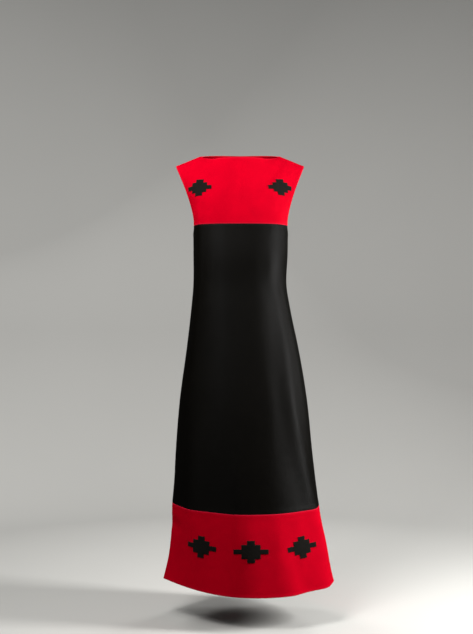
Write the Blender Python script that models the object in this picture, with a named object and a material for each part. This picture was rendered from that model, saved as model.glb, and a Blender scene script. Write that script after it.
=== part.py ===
"""Sleeveless ankle-length A-line dress, hollow as it hangs on a general figure.

A red yoke and a red hem band are sewn to a black body. Black stepped diamonds are sewn on
the front: two on the yoke, three on the band. A zip closes the centre back.

Metres, +Z up, the front faces -Y and +X is the viewer's right. The origin lies midway between
the neck ends of the two shoulder seams, on the cloth's underside.
"""

import math
from collections import namedtuple

import bmesh
import bpy
import numpy as np
from mathutils import Matrix, Vector

# Cloth and seams
WALL = 0.002  # one layer of heavy double-knit wool with its turned edge
SEAM_GAP = 0.0003  # pieces stay this far apart along a seam
PATCH_WALL = 0.0012  # cloth of the stepped diamonds
PATCH_GAP = 0.0004  # diamonds lie this far above their panel

# Heights of the cuts, down from the shoulder seam's neck end
YOKE_SEAM = -0.2285
UNDERARM = -0.250
BAND_SEAM = -1.1365
HEM = -1.3885

# Yoke outline
NECK_HALF = 0.129  # half the width of the boat neck
SHOULDER_HALF = 0.2085  # half the width across the shoulder ends
SHOULDER_DROP = 0.033  # slope of each shoulder seam
NECK_SHARE = 0.62  # share of a panel's columns that end at the neckline
ARM_ANGLE = math.radians(78)  # where the armhole meets the yoke seam, from the centre line

# Sections of the dress along its level threads. Left and right are the x of the side seams,
# front and back the y of the centre lines, and side the y of the right side seam, the left
# one being at 0. Lift_left and lift_right are how far a thread rises at the side seams. Flat
# is the power that flattens the front and back. Corner_left and corner_right are the powers of
# the corners at the side seams: 1 is a sharp corner, 2 is round and more is square.
Section = namedtuple(
    "Section",
    "height left right front back side lift_left lift_right flat corner_left corner_right",
)
SECTIONS = (
    Section(-0.2285, -0.1520, 0.1560, -0.130, 0.108, 0.000, 0.0000, 0.0000, 3.0, 2.60, 2.60),
    Section(-0.3200, -0.1515, 0.1550, -0.133, 0.104, 0.000, 0.0000, 0.0000, 2.8, 2.50, 2.50),
    Section(-0.4200, -0.1520, 0.1515, -0.131, 0.100, 0.000, 0.0000, 0.0000, 2.6, 2.30, 2.30),
    Section(-0.4980, -0.1590, 0.1640, -0.134, 0.108, 0.000, 0.0000, 0.0000, 2.5, 2.15, 2.20),
    Section(-0.6260, -0.1740, 0.1905, -0.140, 0.124, -0.002, 0.0000, 0.0000, 2.4, 1.95, 2.05),
    Section(-0.7890, -0.1960, 0.2180, -0.151, 0.142, -0.006, 0.0000, 0.0000, 2.3, 1.80, 1.95),
    Section(-0.9660, -0.2100, 0.2365, -0.163, 0.158, -0.014, 0.0020, 0.0010, 2.2, 1.65, 1.85),
    Section(-1.0640, -0.2150, 0.2475, -0.170, 0.166, -0.022, 0.0050, 0.0030, 2.1, 1.50, 1.75),
    Section(-1.1365, -0.2210, 0.2560, -0.175, 0.172, -0.030, 0.0076, 0.0050, 2.0, 1.40, 1.70),
    Section(-1.2280, -0.2240, 0.2665, -0.184, 0.180, -0.036, 0.0090, 0.0090, 2.0, 1.20, 1.65),
    Section(-1.3120, -0.2335, 0.2840, -0.192, 0.187, -0.041, 0.0105, 0.0125, 2.0, 1.05, 1.60),
    Section(-1.3885, -0.2510, 0.3022, -0.200, 0.195, -0.045, 0.0116, 0.0152, 2.0, 0.95, 1.60),
)

# Soft folds, as swells of the section. Each row gives a fold's place at one height: its angle
# in degrees round from the front centre, +90 at the right side seam, how far it swells out
# and its half width in degrees.
Fold = namedtuple("Fold", "name height angle swell width")
FoldRow = namedtuple("FoldRow", "height angle swell width")
FOLDS = (
    Fold("right hip", -0.40, 50, 0.000, 9),
    Fold("right hip", -0.58, 49, 0.006, 9),
    Fold("right hip", -0.78, 47, 0.009, 9),
    Fold("right hip", -0.97, 56, 0.009, 10),
    Fold("right hip", -1.13, 70, 0.009, 11),
    Fold("right hip", -1.24, 78, 0.013, 13),
    Fold("right hip", -1.39, 70, 0.010, 10),
    Fold("right of centre", -1.05, 30, 0.000, 9),
    Fold("right of centre", -1.24, 31, 0.002, 9),
    Fold("right of centre", -1.39, 33, 0.006, 9),
    Fold("right hem hollow", -1.20, 54, 0.000, 9),
    Fold("right hem hollow", -1.39, 53, -0.004, 9),
    Fold("left knee", -0.80, -50, 0.000, 12),
    Fold("left knee", -1.13, -56, 0.009, 12),
    Fold("left knee", -1.27, -57, 0.006, 12),
    Fold("left knee", -1.39, -58, 0.000, 12),
    Fold("left front hollow", -0.95, -32, 0.000, 11),
    Fold("left front hollow", -1.13, -33, -0.003, 11),
    Fold("left front hollow", -1.39, -36, 0.000, 11),
    Fold("back right", -0.50, 130, 0.000, 12),
    Fold("back right", -1.00, 133, 0.009, 13),
    Fold("back right", -1.39, 138, 0.012, 13),
    Fold("back right hollow", -0.60, 156, 0.000, 10),
    Fold("back right hollow", -1.39, 162, -0.008, 12),
    Fold("back left", -0.45, -128, 0.000, 12),
    Fold("back left", -0.95, -132, 0.008, 13),
    Fold("back left", -1.39, -130, 0.011, 13),
    Fold("back left hollow", -0.70, -150, 0.000, 10),
    Fold("back left hollow", -1.39, -158, -0.007, 12),
)

# How each yoke column bends from the seam to its top edge. Rise is how far it keeps on up,
# pull how far it runs level into the top edge and climb the angle in degrees at that edge.
Bend = namedtuple("Bend", "share rise pull climb")
FRONT_BENDS = (
    Bend(0.00, 0.075, 0.060, 58),
    Bend(0.40, 0.078, 0.060, 45),
    Bend(0.62, 0.080, 0.060, 14),
    Bend(1.00, 0.070, 0.052, 0),
)
BACK_BENDS = (
    Bend(0.00, 0.080, 0.062, 66),
    Bend(0.40, 0.082, 0.062, 48),
    Bend(0.62, 0.084, 0.060, 14),
    Bend(1.00, 0.074, 0.050, 0),
)
Neckline = namedtuple("Neckline", "depth rise power")
FRONT_NECK = Neckline(depth=0.062, rise=-0.0138, power=6.0)
BACK_NECK = Neckline(depth=0.055, rise=0.010, power=3.0)
ARMHOLE_EARLY = -0.03  # how far out the armhole edge steers a third and two thirds of the way
ARMHOLE_LATE = 1.10

# Stepped diamonds: three crossed bars each, as (width, height)
BAND_STEPS = ((0.109, 0.0145), (0.0595, 0.042), (0.024, 0.0675))
YOKE_STEPS = ((0.084, 0.0135), (0.052, 0.033), (0.025, 0.055))
PATCH_CELL = 0.012  # longest side of a diamond's cell
Patch = namedtuple("Patch", "name across height tilt")  # tilt in degrees, rising to the right
YOKE_PATCHES = (
    Patch("left", -0.1305, -0.109, 0.5),
    Patch("right", 0.1295, -0.108, -0.5),
)
BAND_PATCHES = (  # across is along the cloth from the section's middle
    Patch("left", -0.158, -1.2485, -3.0),
    Patch("centre", 0.011, -1.2485, 0.5),
    Patch("right", 0.183, -1.2485, 4.0),
)

# Zip at the centre back
ZIP_END = -0.50  # the tapes end at the body's last row above this height
TAPE_WIDTH = 0.012
TAPE_WALL = 0.0008
TAPE_GAP = 0.0005  # between a tape and the cloth over it, whose facets are flat
TAPE_INSET = 0.0042  # from the centre back to each tape, room for the slider
SLIDER_DROP = 0.018  # below the neck edge
SLIDER_LENGTH = 0.009
SLIDER_LOW_WIDTH = 0.0070
SLIDER_TOP_WIDTH = 0.0044
SLIDER_PLATE = 0.0011
SLIDER_WEB = 0.0014
WEB_SHARE = 0.80  # the web's and the bail's lengths, as shares of the slider's
BAIL_SHARE = 0.85
BAIL_WIDTH = 0.0016
BAIL_HEIGHT = 0.0034
BAIL_BAR = 0.0009
SLIT_OPEN = 0.0012  # each back edge stands this far aside at the slider
SLIT_REACH = 0.016  # length over which the slit closes again
PULL_WIDTH = 0.0056
PULL_LENGTH = 0.024
PULL_WALL = 0.0010
PULL_SLOT_WIDTH = 0.0026
PULL_SLOT_LENGTH = 0.0074
PULL_HEAD = 0.0005  # the tab's top edge stands this far above its axis
PULL_TIP = 0.003  # length of the rounded tip, and of the stretch under the slot
PULL_TIP_SHARE = 0.62  # widths at the tip's end and from the slot up
PULL_NECK_SHARE = 0.86
AXIS_OUT = 0.0009  # the tab's axis stands this far out from the slider's plate
AXIS_UP = 0.0008  # and this far up from the bail's lower post

RED = (0.66, 0.003, 0.018, 1.0)
BLACK = (0.012, 0.011, 0.010, 1.0)
STEEL = (0.45, 0.44, 0.42, 1.0)


def through(rows, column, at):
    """Smooth curve through one column of a table, each slope the mean of its neighbours'."""
    knots = np.array([row[0] for row in rows], float)
    values = np.array([getattr(row, column) for row in rows], float)
    if knots[0] > knots[-1]:
        knots, values = knots[::-1], values[::-1]
    slopes = np.gradient(values, knots)
    at = np.clip(at, knots[0], knots[-1])
    low = np.clip(np.searchsorted(knots, at) - 1, 0, len(knots) - 2)
    span = knots[low + 1] - knots[low]
    k = (at - knots[low]) / span
    return (
        values[low] * (1 + 2 * k) * (1 - k) ** 2
        + values[low + 1] * k * k * (3 - 2 * k)
        + slopes[low] * span * k * (1 - k) ** 2
        - slopes[low + 1] * span * k * k * (1 - k)
    )


def eased(k):
    """0 to 1 with level ends."""
    k = np.clip(k, 0, 1)
    return k * k * (3 - 2 * k)


def fold_swell(angle, height):
    """Sum of the soft folds, each a bell across the cloth that follows its rows down."""
    swell = np.zeros(np.broadcast(angle, height).shape)
    for name in dict.fromkeys(fold.name for fold in FOLDS):
        rows = [fold[1:] for fold in FOLDS if fold.name == name]
        rows = [FoldRow(*row) for row in rows]
        away = np.degrees(angle) - through(rows, "angle", height)
        away = (away + 180) % 360 - 180
        bell = np.exp(-((away / through(rows, "width", height)) ** 2))
        swell = swell + through(rows, "swell", height) * bell
    return swell


def tube(angle, height):
    """Outer cloth below the yoke, at an angle round from the front centre and a height."""
    angle, height = np.broadcast_arrays(np.asarray(angle, float), np.asarray(height, float))
    at = {name: through(SECTIONS, name, height) for name in Section._fields[1:]}
    quarter = np.arcsin(np.clip(np.sin(angle), -1, 1))
    corner = np.where(quarter > 0, at["corner_right"], at["corner_left"])
    roundness = np.clip(corner - 1, 0, 1)
    share = (1 - roundness) * quarter * 2 / math.pi + roundness * np.sin(quarter)
    bulge = np.clip(1 - np.abs(share) ** at["flat"], 0, 1) ** (1 / corner)
    middle_x = (at["left"] + at["right"]) / 2
    middle_y = at["side"] / 2
    centre_line = np.where(np.cos(angle) > 0, at["front"], at["back"])
    x = middle_x + (at["right"] - at["left"]) / 2 * share
    y = middle_y * (1 + share) + (centre_line - middle_y) * bulge
    swell = fold_swell(angle, height) / np.hypot(x - middle_x, y - middle_y)
    lift = np.where(share > 0, at["lift_right"], at["lift_left"]) * share**2
    return np.stack(
        [x + swell * (x - middle_x), y + swell * (y - middle_y), height + lift], axis=-1
    )


def yoke_top(across, side):
    """Top edge of a yoke panel: the neckline, then the shoulder seam. Side is 1 in front."""
    neck = FRONT_NECK if side > 0 else BACK_NECK
    reach = np.abs(across)
    to_neck = np.clip(reach / NECK_SHARE, 0, 1)
    to_tip = np.clip((reach - NECK_SHARE) / (1 - NECK_SHARE), 0, 1)
    x = NECK_HALF * to_neck + (SHOULDER_HALF - NECK_HALF) * to_tip
    y = -side * neck.depth * (1 - to_neck**2)
    z = WALL + neck.rise * (1 - to_neck**neck.power) - SHOULDER_DROP * to_tip
    return np.stack([np.sign(across) * x, y, z], axis=-1)


def yoke(across, up, side):
    """Outer cloth of the yoke: columns bent from the yoke seam up to the top edge."""
    across, up = np.broadcast_arrays(np.asarray(across, float), np.asarray(up, float))
    bends = FRONT_BENDS if side > 0 else BACK_BENDS
    angle = across * ARM_ANGLE if side > 0 else math.pi - across * ARM_ANGLE
    reach = np.abs(across)
    foot = tube(angle, YOKE_SEAM)
    head = yoke_top(across, side)
    start = foot - tube(angle, YOKE_SEAM - 0.01)
    start = start / np.linalg.norm(start, axis=-1, keepdims=True)
    climb = np.radians(through(bends, "climb", reach))
    over = np.stack([np.zeros_like(climb), side * np.cos(climb), np.sin(climb)], axis=-1)
    second = foot + start * through(bends, "rise", reach)[..., None]
    third = head - over * through(bends, "pull", reach)[..., None]
    out = head[..., 0] - foot[..., 0]
    second[..., 0] = foot[..., 0] + out * (1 / 3 + (ARMHOLE_EARLY - 1 / 3) * reach**2)
    third[..., 0] = foot[..., 0] + out * (2 / 3 + (ARMHOLE_LATE - 2 / 3) * reach**2)
    k = up[..., None]
    return (
        foot * (1 - k) ** 3
        + 3 * second * k * (1 - k) ** 2
        + 3 * third * k * k * (1 - k)
        + head * k**3
    )


def front_yoke(across, up):
    return yoke(across, up, 1)


def back_yoke(across, up):
    return yoke(across, up, -1)


def body_top(angle):
    """Height of the black body's top edge: the yoke seam, scooped out under the arms."""
    from_centre = np.abs((np.asarray(angle) + math.pi) % (2 * math.pi) - math.pi)
    from_centre = np.minimum(from_centre, math.pi - from_centre)
    k = np.clip((from_centre - ARM_ANGLE) / (math.pi / 2 - ARM_ANGLE), 0, 1)
    return YOKE_SEAM - (YOKE_SEAM - UNDERARM) * np.sqrt(1 - (1 - k) ** 2)


def body(angle, up):
    return tube(angle, BAND_SEAM + up * (body_top(angle) - BAND_SEAM))


def band(angle, up):
    return tube(angle, HEM + up * (BAND_SEAM - HEM))


def normals(surface, p, q, flip):
    """Unit normals out of the cloth, from small steps along both directions."""
    step = 1e-4
    along = surface(p + step, q) - surface(p - step, q)
    rise = surface(p, np.clip(q + step, 0, 1)) - surface(p, np.clip(q - step, 0, 1))
    out = np.cross(along, rise)
    out = out / np.linalg.norm(out, axis=-1, keepdims=True)
    return -out if flip else out


def in_seam_plane(out):
    """Turns the normals along a shoulder seam into the seam's own upright plane."""
    out = out * (1, 0, 1)
    return out / np.linalg.norm(out, axis=-1, keepdims=True)


def material(name, colour, roughness, metallic):
    made = bpy.data.materials.new(name)
    made.use_nodes = True
    shader = made.node_tree.nodes["Principled BSDF"]
    shader.inputs["Base Color"].default_value = colour
    shader.inputs["Roughness"].default_value = roughness
    shader.inputs["Metallic"].default_value = metallic
    return made


def add_object(name, points, faces, look):
    mesh = bpy.data.meshes.new(name)
    mesh.from_pydata([tuple(point) for point in points], [], faces)
    mesh.update()
    mesh.shade_smooth()
    mesh.set_sharp_from_angle(angle=math.radians(40))
    mesh.materials.append(look)
    made = bpy.data.objects.new(name, mesh)
    bpy.context.scene.collection.objects.link(made)
    return made


def solid_from_cells(name, outer, inner, keep, flip, look):
    """Closed solid between two grids of points, over the grid cells that are kept."""
    wide, high = outer.shape[:2]
    points = np.concatenate([outer.reshape(-1, 3), inner.reshape(-1, 3)])
    under = wide * high

    def at(i, j):
        return i * high + j

    def kept(i, j):
        return 0 <= i < wide - 1 and 0 <= j < high - 1 and keep[i, j]

    faces = []
    for i in range(wide - 1):
        for j in range(high - 1):
            if not keep[i, j]:
                continue
            corners = [at(i, j), at(i + 1, j), at(i + 1, j + 1), at(i, j + 1)]
            faces.append(corners)
            faces.append([under + c for c in reversed(corners)])
            beside = (kept(i, j - 1), kept(i + 1, j), kept(i, j + 1), kept(i - 1, j))
            for side, joined in enumerate(beside):
                if not joined:
                    a, b = corners[side], corners[(side + 1) % 4]
                    faces.append([b, a, under + a, under + b])
    if flip:
        faces = [list(reversed(face)) for face in faces]
    used = sorted({index for face in faces for index in face})
    place = {index: n for n, index in enumerate(used)}
    return add_object(name, points[used], [[place[c] for c in face] for face in faces], look)


def trimmed(points, first, last, axis):
    """Moves the first and last lines of a grid in along the cloth, by these amounts."""
    points = np.swapaxes(points, 0, 1).copy() if axis else points.copy()
    for line, beside, amount in ((0, 1, first), (-1, -2, last)):
        inward = points[beside] - points[line]
        inward = inward / np.linalg.norm(inward, axis=-1, keepdims=True)
        points[line] += inward * np.reshape(amount, (-1, 1))
    return np.swapaxes(points, 0, 1) if axis else points


def cloth_panel(
    name, surface, columns, rows, look, sides=(0, 0), ends=(0, 0), shoulder=False, flip=False
):
    """One cut piece of cloth as a wall.

    Sides and ends say how far each edge stands back, and shoulder which columns end at the
    shoulder seam.
    """
    p, q = np.meshgrid(columns, rows, indexing="ij")
    out = normals(surface, p, q, flip)
    out[shoulder, -1] = in_seam_plane(out[shoulder, -1])
    outer = trimmed(trimmed(surface(p, q), *sides, axis=0), *ends, axis=1)
    inner = outer - WALL * out
    keep = np.ones((len(columns) - 1, len(rows) - 1), bool)
    return solid_from_cells(name, outer, inner, keep, flip, look)


def spread_columns(*stretches):
    """Columns from several stretches, each (start, end, number of steps)."""
    parts = [np.linspace(start, end, steps + 1)[:-1] for start, end, steps in stretches]
    return np.concatenate(parts + [[stretches[-1][1]]])


def frame_at(surface, p, q, flip=False):
    """Point, level direction, direction up the cloth and normal of a surface."""
    point = surface(np.array(p), np.array(q))
    out = normals(surface, np.array(p), np.array(q), flip)
    level = np.cross([0.0, 0.0, 1.0], out)
    level = level / np.linalg.norm(level)
    return point, level, np.cross(out, level), out


def find(surface, origin, level, up, a, b, p, q):
    """Where on a surface the cloth is a along level and b along up from an origin.

    Newton's steps from a first guess at p and q, for whole arrays of points.
    """
    step = 1e-4
    for _ in range(12):
        here = surface(p, q)
        by_p = (surface(p + step, q) - surface(p - step, q)) / (2 * step)
        by_q = (surface(p, q + step) - surface(p, q - step)) / (2 * step)
        miss_a = a - (here - origin) @ level
        miss_b = b - (here - origin) @ up
        size = (by_p @ level) * (by_q @ up) - (by_q @ level) * (by_p @ up)
        p = p + (miss_a * (by_q @ up) - miss_b * (by_q @ level)) / size
        q = q + (miss_b * (by_p @ level) - miss_a * (by_p @ up)) / size
    return p, q


def breaks(sizes):
    """Cell lines across a diamond: every step's edge, with long cells halved or more."""
    edges = sorted({s * size / 2 for size in sizes for s in (-1, 1)})
    lines = [edges[0]]
    for start, end in zip(edges, edges[1:]):
        cells = max(1, math.ceil((end - start) / PATCH_CELL - 1e-6))
        lines += [start + (end - start) * (n + 1) / cells for n in range(cells)]
    return np.array(lines)


def stepped_diamond(name, surface, p, q, tilt, steps, look):
    """A diamond of crossed bars laid on a panel, made from the panel's points moved out."""
    centre, level, up, _ = frame_at(surface, p, q)
    turn = math.radians(tilt)
    level, up = (
        level * math.cos(turn) + up * math.sin(turn),
        up * math.cos(turn) - level * math.sin(turn),
    )
    a_lines = breaks([width for width, _ in steps])
    b_lines = breaks([height for _, height in steps])
    a, b = np.meshgrid(a_lines, b_lines, indexing="ij")
    at_p, at_q = find(surface, centre, level, up, a, b, p + 0 * a, q + 0 * a)
    ground = surface(at_p, at_q)
    out = normals(surface, at_p, at_q, False)
    a_mid = (a_lines[:-1] + a_lines[1:]) / 2
    b_mid = (b_lines[:-1] + b_lines[1:]) / 2
    keep = np.zeros((len(a_mid), len(b_mid)), bool)
    for width, height in steps:
        keep |= (np.abs(a_mid) < width / 2)[:, None] & (np.abs(b_mid) < height / 2)[None, :]
    low = ground + PATCH_GAP * out
    return solid_from_cells(name, low + PATCH_WALL * out, low, keep, False, look)


def angle_along(height, distance):
    """Angle on the band where the cloth is this far from the front centre along the cloth."""
    angles = np.linspace(0, math.radians(80) * np.sign(distance), 400)
    line = tube(angles, height)
    lengths = np.concatenate([[0], np.cumsum(np.linalg.norm(np.diff(line, axis=0), axis=1))])
    return float(np.interp(abs(distance), lengths, angles))


def zip_rows(body_rows, yoke_rows):
    """Rows of cloth that the zip runs along: (surface, centre back, place per metre, up)."""
    rows = []
    for up in body_rows:
        if body(math.pi, up)[2] > ZIP_END:
            reach = body(math.pi - 0.01, up)[0] - body(math.pi, up)[0]
            rows.append((body, math.pi, -0.01 / reach, up))
    for up in yoke_rows[1:-1]:
        reach = back_yoke(0.01, up)[0] - back_yoke(0.0, up)[0]
        rows.append((back_yoke, 0.0, 0.01 / reach, up))
    return rows


def zip_tape(name, side, rows, look):
    """Tape sewn inside one back edge, along the inner face of the cloth."""
    outer, inner = [], []
    for surface, middle, per_metre, up in rows:
        reach = side * (TAPE_INSET + np.array([0.0, 0.5, 1.0]) * TAPE_WIDTH)
        p = middle + per_metre * reach
        q = np.full(3, up)
        out = normals(surface, p, q, surface is back_yoke)
        face = surface(p, q) - (WALL + TAPE_GAP) * out
        outer.append(face)
        inner.append(face - TAPE_WALL * out)
    outer, inner = np.array(outer), np.array(inner)
    keep = np.ones((len(outer) - 1, 2), bool)
    return solid_from_cells(name, outer, inner, keep, side < 0, look)


def box(name, low, high):
    """Box between two corners, in the zip's own frame: across, out of the cloth, up."""
    made = bpy.data.objects.new(name, bpy.data.meshes.new(name))
    bpy.context.scene.collection.objects.link(made)
    shape = bmesh.new()
    bmesh.ops.create_cube(shape, size=1)
    size = Vector(high) - Vector(low)
    bmesh.ops.scale(shape, vec=size, verts=shape.verts)
    bmesh.ops.translate(shape, vec=(Vector(high) + Vector(low)) / 2, verts=shape.verts)
    shape.to_mesh(made.data)
    shape.free()
    return made


def combine(base, other, operation):
    """Adds a Boolean to base, with other kept as a hidden helper."""
    other.hide_render = True
    other.display_type = "WIRE"
    cut = base.modifiers.new(other.name, "BOOLEAN")
    cut.operation = operation
    cut.object = other
    cut.solver = "EXACT"


def zip_frame():
    """Place of the slider on the centre back: origin on the outer cloth, axes across, out, up."""
    ups = np.linspace(0, 1, 400)
    line = back_yoke(np.zeros(400), ups)
    to_top = np.concatenate([[0], np.cumsum(np.linalg.norm(np.diff(line[::-1], axis=0), axis=1))])
    at = float(np.interp(SLIDER_DROP, to_top, ups[::-1]))
    point, _, _, out = frame_at(back_yoke, 0.0, at, flip=True)
    out = Vector(out)
    across = Vector((1, 0, 0))
    up = across.cross(out)
    up = up if up.z > 0 else -up
    matrix = Matrix((across, out, up)).transposed().to_4x4()
    matrix.translation = Vector(point)
    return matrix, at


def zip_slider(place, look):
    """Slider: a plate inside the slit, a web through it, a plate outside and a bail."""
    half = SLIDER_LENGTH / 2
    deep = -(WALL + SEAM_GAP)
    face = SEAM_GAP
    low = SLIDER_LOW_WIDTH / 2
    top = SLIDER_TOP_WIDTH / 2
    web = SLIDER_WEB / 2
    web_half = half * WEB_SHARE
    bail = BAIL_WIDTH / 2
    bail_half = half * BAIL_SHARE
    bite = 0.0002  # overlap that joins the pieces
    slider = box("zip_slider", (-low, deep - SLIDER_PLATE, -half), (low, deep, half))
    web_box = box("web", (-web, deep - bite, -web_half), (web, face + bite, web_half))
    plate = box("plate", (-top, face, -half), (top, face + SLIDER_PLATE, half))
    foot = face + SLIDER_PLATE - bite
    arch = box("arch", (-bail, foot, -bail_half), (bail, foot + BAIL_HEIGHT, bail_half))
    eye = box(
        "eye",
        (-bail * 3, foot + bite, -bail_half + BAIL_BAR),
        (bail * 3, foot + BAIL_HEIGHT - BAIL_BAR, bail_half - BAIL_BAR),
    )
    combine(arch, eye, "DIFFERENCE")
    for piece in (web_box, plate, arch):
        combine(slider, piece, "UNION")
    for piece in (slider, web_box, plate, arch, eye):
        piece.matrix_world = place
    slider.data.materials.append(look)


def zip_pull(place, look):
    """Pull tab: a narrow plate with a slot that rides round the bail, wider near its tip."""
    lines_x = np.array([-PULL_WIDTH, -PULL_SLOT_WIDTH, PULL_SLOT_WIDTH, PULL_WIDTH]) / 2
    tip = PULL_HEAD - PULL_LENGTH
    slot_top = PULL_HEAD - PULL_WALL
    slot_low = slot_top - PULL_SLOT_LENGTH
    lines_z = np.array([tip, tip + PULL_TIP, slot_low - PULL_TIP, slot_low, slot_top, PULL_HEAD])
    widths = np.full(len(lines_z), PULL_NECK_SHARE)
    widths[:2] = PULL_TIP_SHARE, 1.0
    x, z = np.meshgrid(lines_x, lines_z, indexing="ij")
    x[[0, -1]] *= widths
    keep = np.ones((len(lines_x) - 1, len(lines_z) - 1), bool)
    keep[1, 3] = False
    outer = np.stack([x, np.full_like(x, PULL_WALL / 2), z], axis=-1)
    inner = np.stack([x, np.full_like(x, -PULL_WALL / 2), z], axis=-1)
    pull = solid_from_cells("zip_pull", outer, inner, keep, True, look)
    hinge = bpy.data.objects.new("zip_pull_axis", None)
    bpy.context.scene.collection.objects.link(hinge)
    out = SEAM_GAP + SLIDER_PLATE + AXIS_OUT
    up = -SLIDER_LENGTH / 2 * BAIL_SHARE + BAIL_BAR + AXIS_UP
    hinge.matrix_world = place @ Matrix.Translation((0, out, up))
    pull.parent = hinge


def slit_opening(points, middle):
    """How far a back edge stands aside at each row, most of it at the slider."""
    away = np.linalg.norm(points - np.array(middle), axis=-1)
    return SEAM_GAP / 2 + SLIT_OPEN * (1 - eased(away / SLIT_REACH))


def main():
    for old in list(bpy.data.objects):
        bpy.data.objects.remove(old, do_unlink=True)
    red = material("red_wool", RED, 0.85, 0.0)
    black = material("black_wool", BLACK, 0.85, 0.0)
    tape = material("black_tape", BLACK, 0.7, 0.0)
    steel = material("zip_metal", STEEL, 0.35, 1.0)
    gap = SEAM_GAP / 2
    side = math.pi / 2
    place, slider_up = zip_frame()

    yoke_rows = np.concatenate([np.linspace(0, 0.9, 10), [0.95, 1.0]])
    half_yoke = spread_columns((0, NECK_SHARE, 8), (NECK_SHARE, 1, 6))
    whole_yoke = np.concatenate([-half_yoke[:0:-1], half_yoke])
    shoulder = np.abs(whole_yoke) >= NECK_SHARE
    cloth_panel(
        "yoke_front", front_yoke, whole_yoke, yoke_rows, red,
        ends=(gap, gap * shoulder), shoulder=shoulder,
    )
    near_slider = slider_up + np.array([-0.03, 0.0, 0.03])
    rows_at_slit = np.sort(np.concatenate([yoke_rows, near_slider]))
    slit = slit_opening(back_yoke(np.zeros(len(rows_at_slit)), rows_at_slit), place.translation)
    shoulder = half_yoke >= NECK_SHARE
    cloth_panel(
        "yoke_back_right", back_yoke, half_yoke, rows_at_slit, red,
        sides=(slit, 0), ends=(gap, gap * shoulder), shoulder=shoulder, flip=True,
    )
    shoulder = shoulder[::-1]
    cloth_panel(
        "yoke_back_left", back_yoke, -half_yoke[::-1], rows_at_slit, red,
        sides=(0, slit), ends=(gap, gap * shoulder), shoulder=shoulder, flip=True,
    )

    front_half = spread_columns((0, ARM_ANGLE, 9), (ARM_ANGLE, side, 4))
    front_whole = np.concatenate([-front_half[:0:-1], front_half])
    body_rows = np.linspace(0, 1, 17)
    under_yoke = np.abs(front_whole) <= ARM_ANGLE
    cloth_panel(
        "body_front", body, front_whole, body_rows, black,
        sides=(gap, gap), ends=(gap, gap * under_yoke),
    )
    under_yoke = front_half <= ARM_ANGLE
    cloth_panel(
        "body_back_right", body, math.pi - front_half[::-1], body_rows, black,
        sides=(gap, gap), ends=(gap, gap * under_yoke[::-1]),
    )
    cloth_panel(
        "body_back_left", body, math.pi + front_half, body_rows, black,
        sides=(gap, gap), ends=(gap, gap * under_yoke),
    )

    band_rows = np.linspace(0, 1, 10)
    cloth_panel(
        "hem_band_front", band, np.linspace(-side, side, 45), band_rows, red,
        sides=(gap, gap), ends=(0, gap),
    )
    cloth_panel(
        "hem_band_back", band, np.linspace(side, 3 * side, 37), band_rows, red,
        sides=(gap, gap), ends=(0, gap),
    )

    origin, level, up = np.zeros(3), np.array([1.0, 0, 0]), np.array([0, 0, 1.0])
    for patch in YOKE_PATCHES:
        guess = (np.array(math.copysign(0.8, patch.across)), np.array(0.5))
        p, q = find(front_yoke, origin, level, up, patch.across, patch.height, *guess)
        name = "diamond_yoke_" + patch.name
        stepped_diamond(name, front_yoke, p, q, patch.tilt, YOKE_STEPS, black)
    for patch in BAND_PATCHES:
        angle = angle_along(patch.height, patch.across)
        q = (patch.height - HEM) / (BAND_SEAM - HEM)
        stepped_diamond("diamond_band_" + patch.name, band, angle, q, patch.tilt, BAND_STEPS, black)

    rows = zip_rows(body_rows, rows_at_slit)
    zip_tape("zip_tape_right", 1, rows, tape)
    zip_tape("zip_tape_left", -1, rows, tape)
    zip_slider(place, steel)
    zip_pull(place, steel)


main()
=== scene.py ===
import math

import bpy
import numpy as np
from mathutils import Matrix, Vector


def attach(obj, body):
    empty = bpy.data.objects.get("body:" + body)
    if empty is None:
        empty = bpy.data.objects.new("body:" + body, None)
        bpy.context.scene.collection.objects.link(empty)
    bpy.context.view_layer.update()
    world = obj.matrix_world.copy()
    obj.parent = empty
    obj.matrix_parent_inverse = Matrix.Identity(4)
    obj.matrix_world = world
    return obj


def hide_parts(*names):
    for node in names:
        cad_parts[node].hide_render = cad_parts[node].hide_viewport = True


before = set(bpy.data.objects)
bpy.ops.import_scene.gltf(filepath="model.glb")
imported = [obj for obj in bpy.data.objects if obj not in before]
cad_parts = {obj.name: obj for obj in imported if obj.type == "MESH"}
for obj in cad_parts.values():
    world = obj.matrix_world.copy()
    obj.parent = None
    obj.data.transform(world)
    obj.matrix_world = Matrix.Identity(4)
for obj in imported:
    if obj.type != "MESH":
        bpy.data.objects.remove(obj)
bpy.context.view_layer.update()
print("frame loaded:", len(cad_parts), "nodes")

# The dress's own sizes in metres, down from the neck end of the shoulder seams. They repeat the frame's.
cut = {
    "yokeSeam": -0.2285,
    "underarm": -0.250,
    "bandSeam": -1.1365,
    "hem": -1.3885,
    "armAngle": math.radians(78),  # where an armhole meets the yoke seam, round from the centre line
    "wall": 0.002,
    "seamBite": 0.00005,  # sewn edges run this far into each other, so no light comes between them
}

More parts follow.
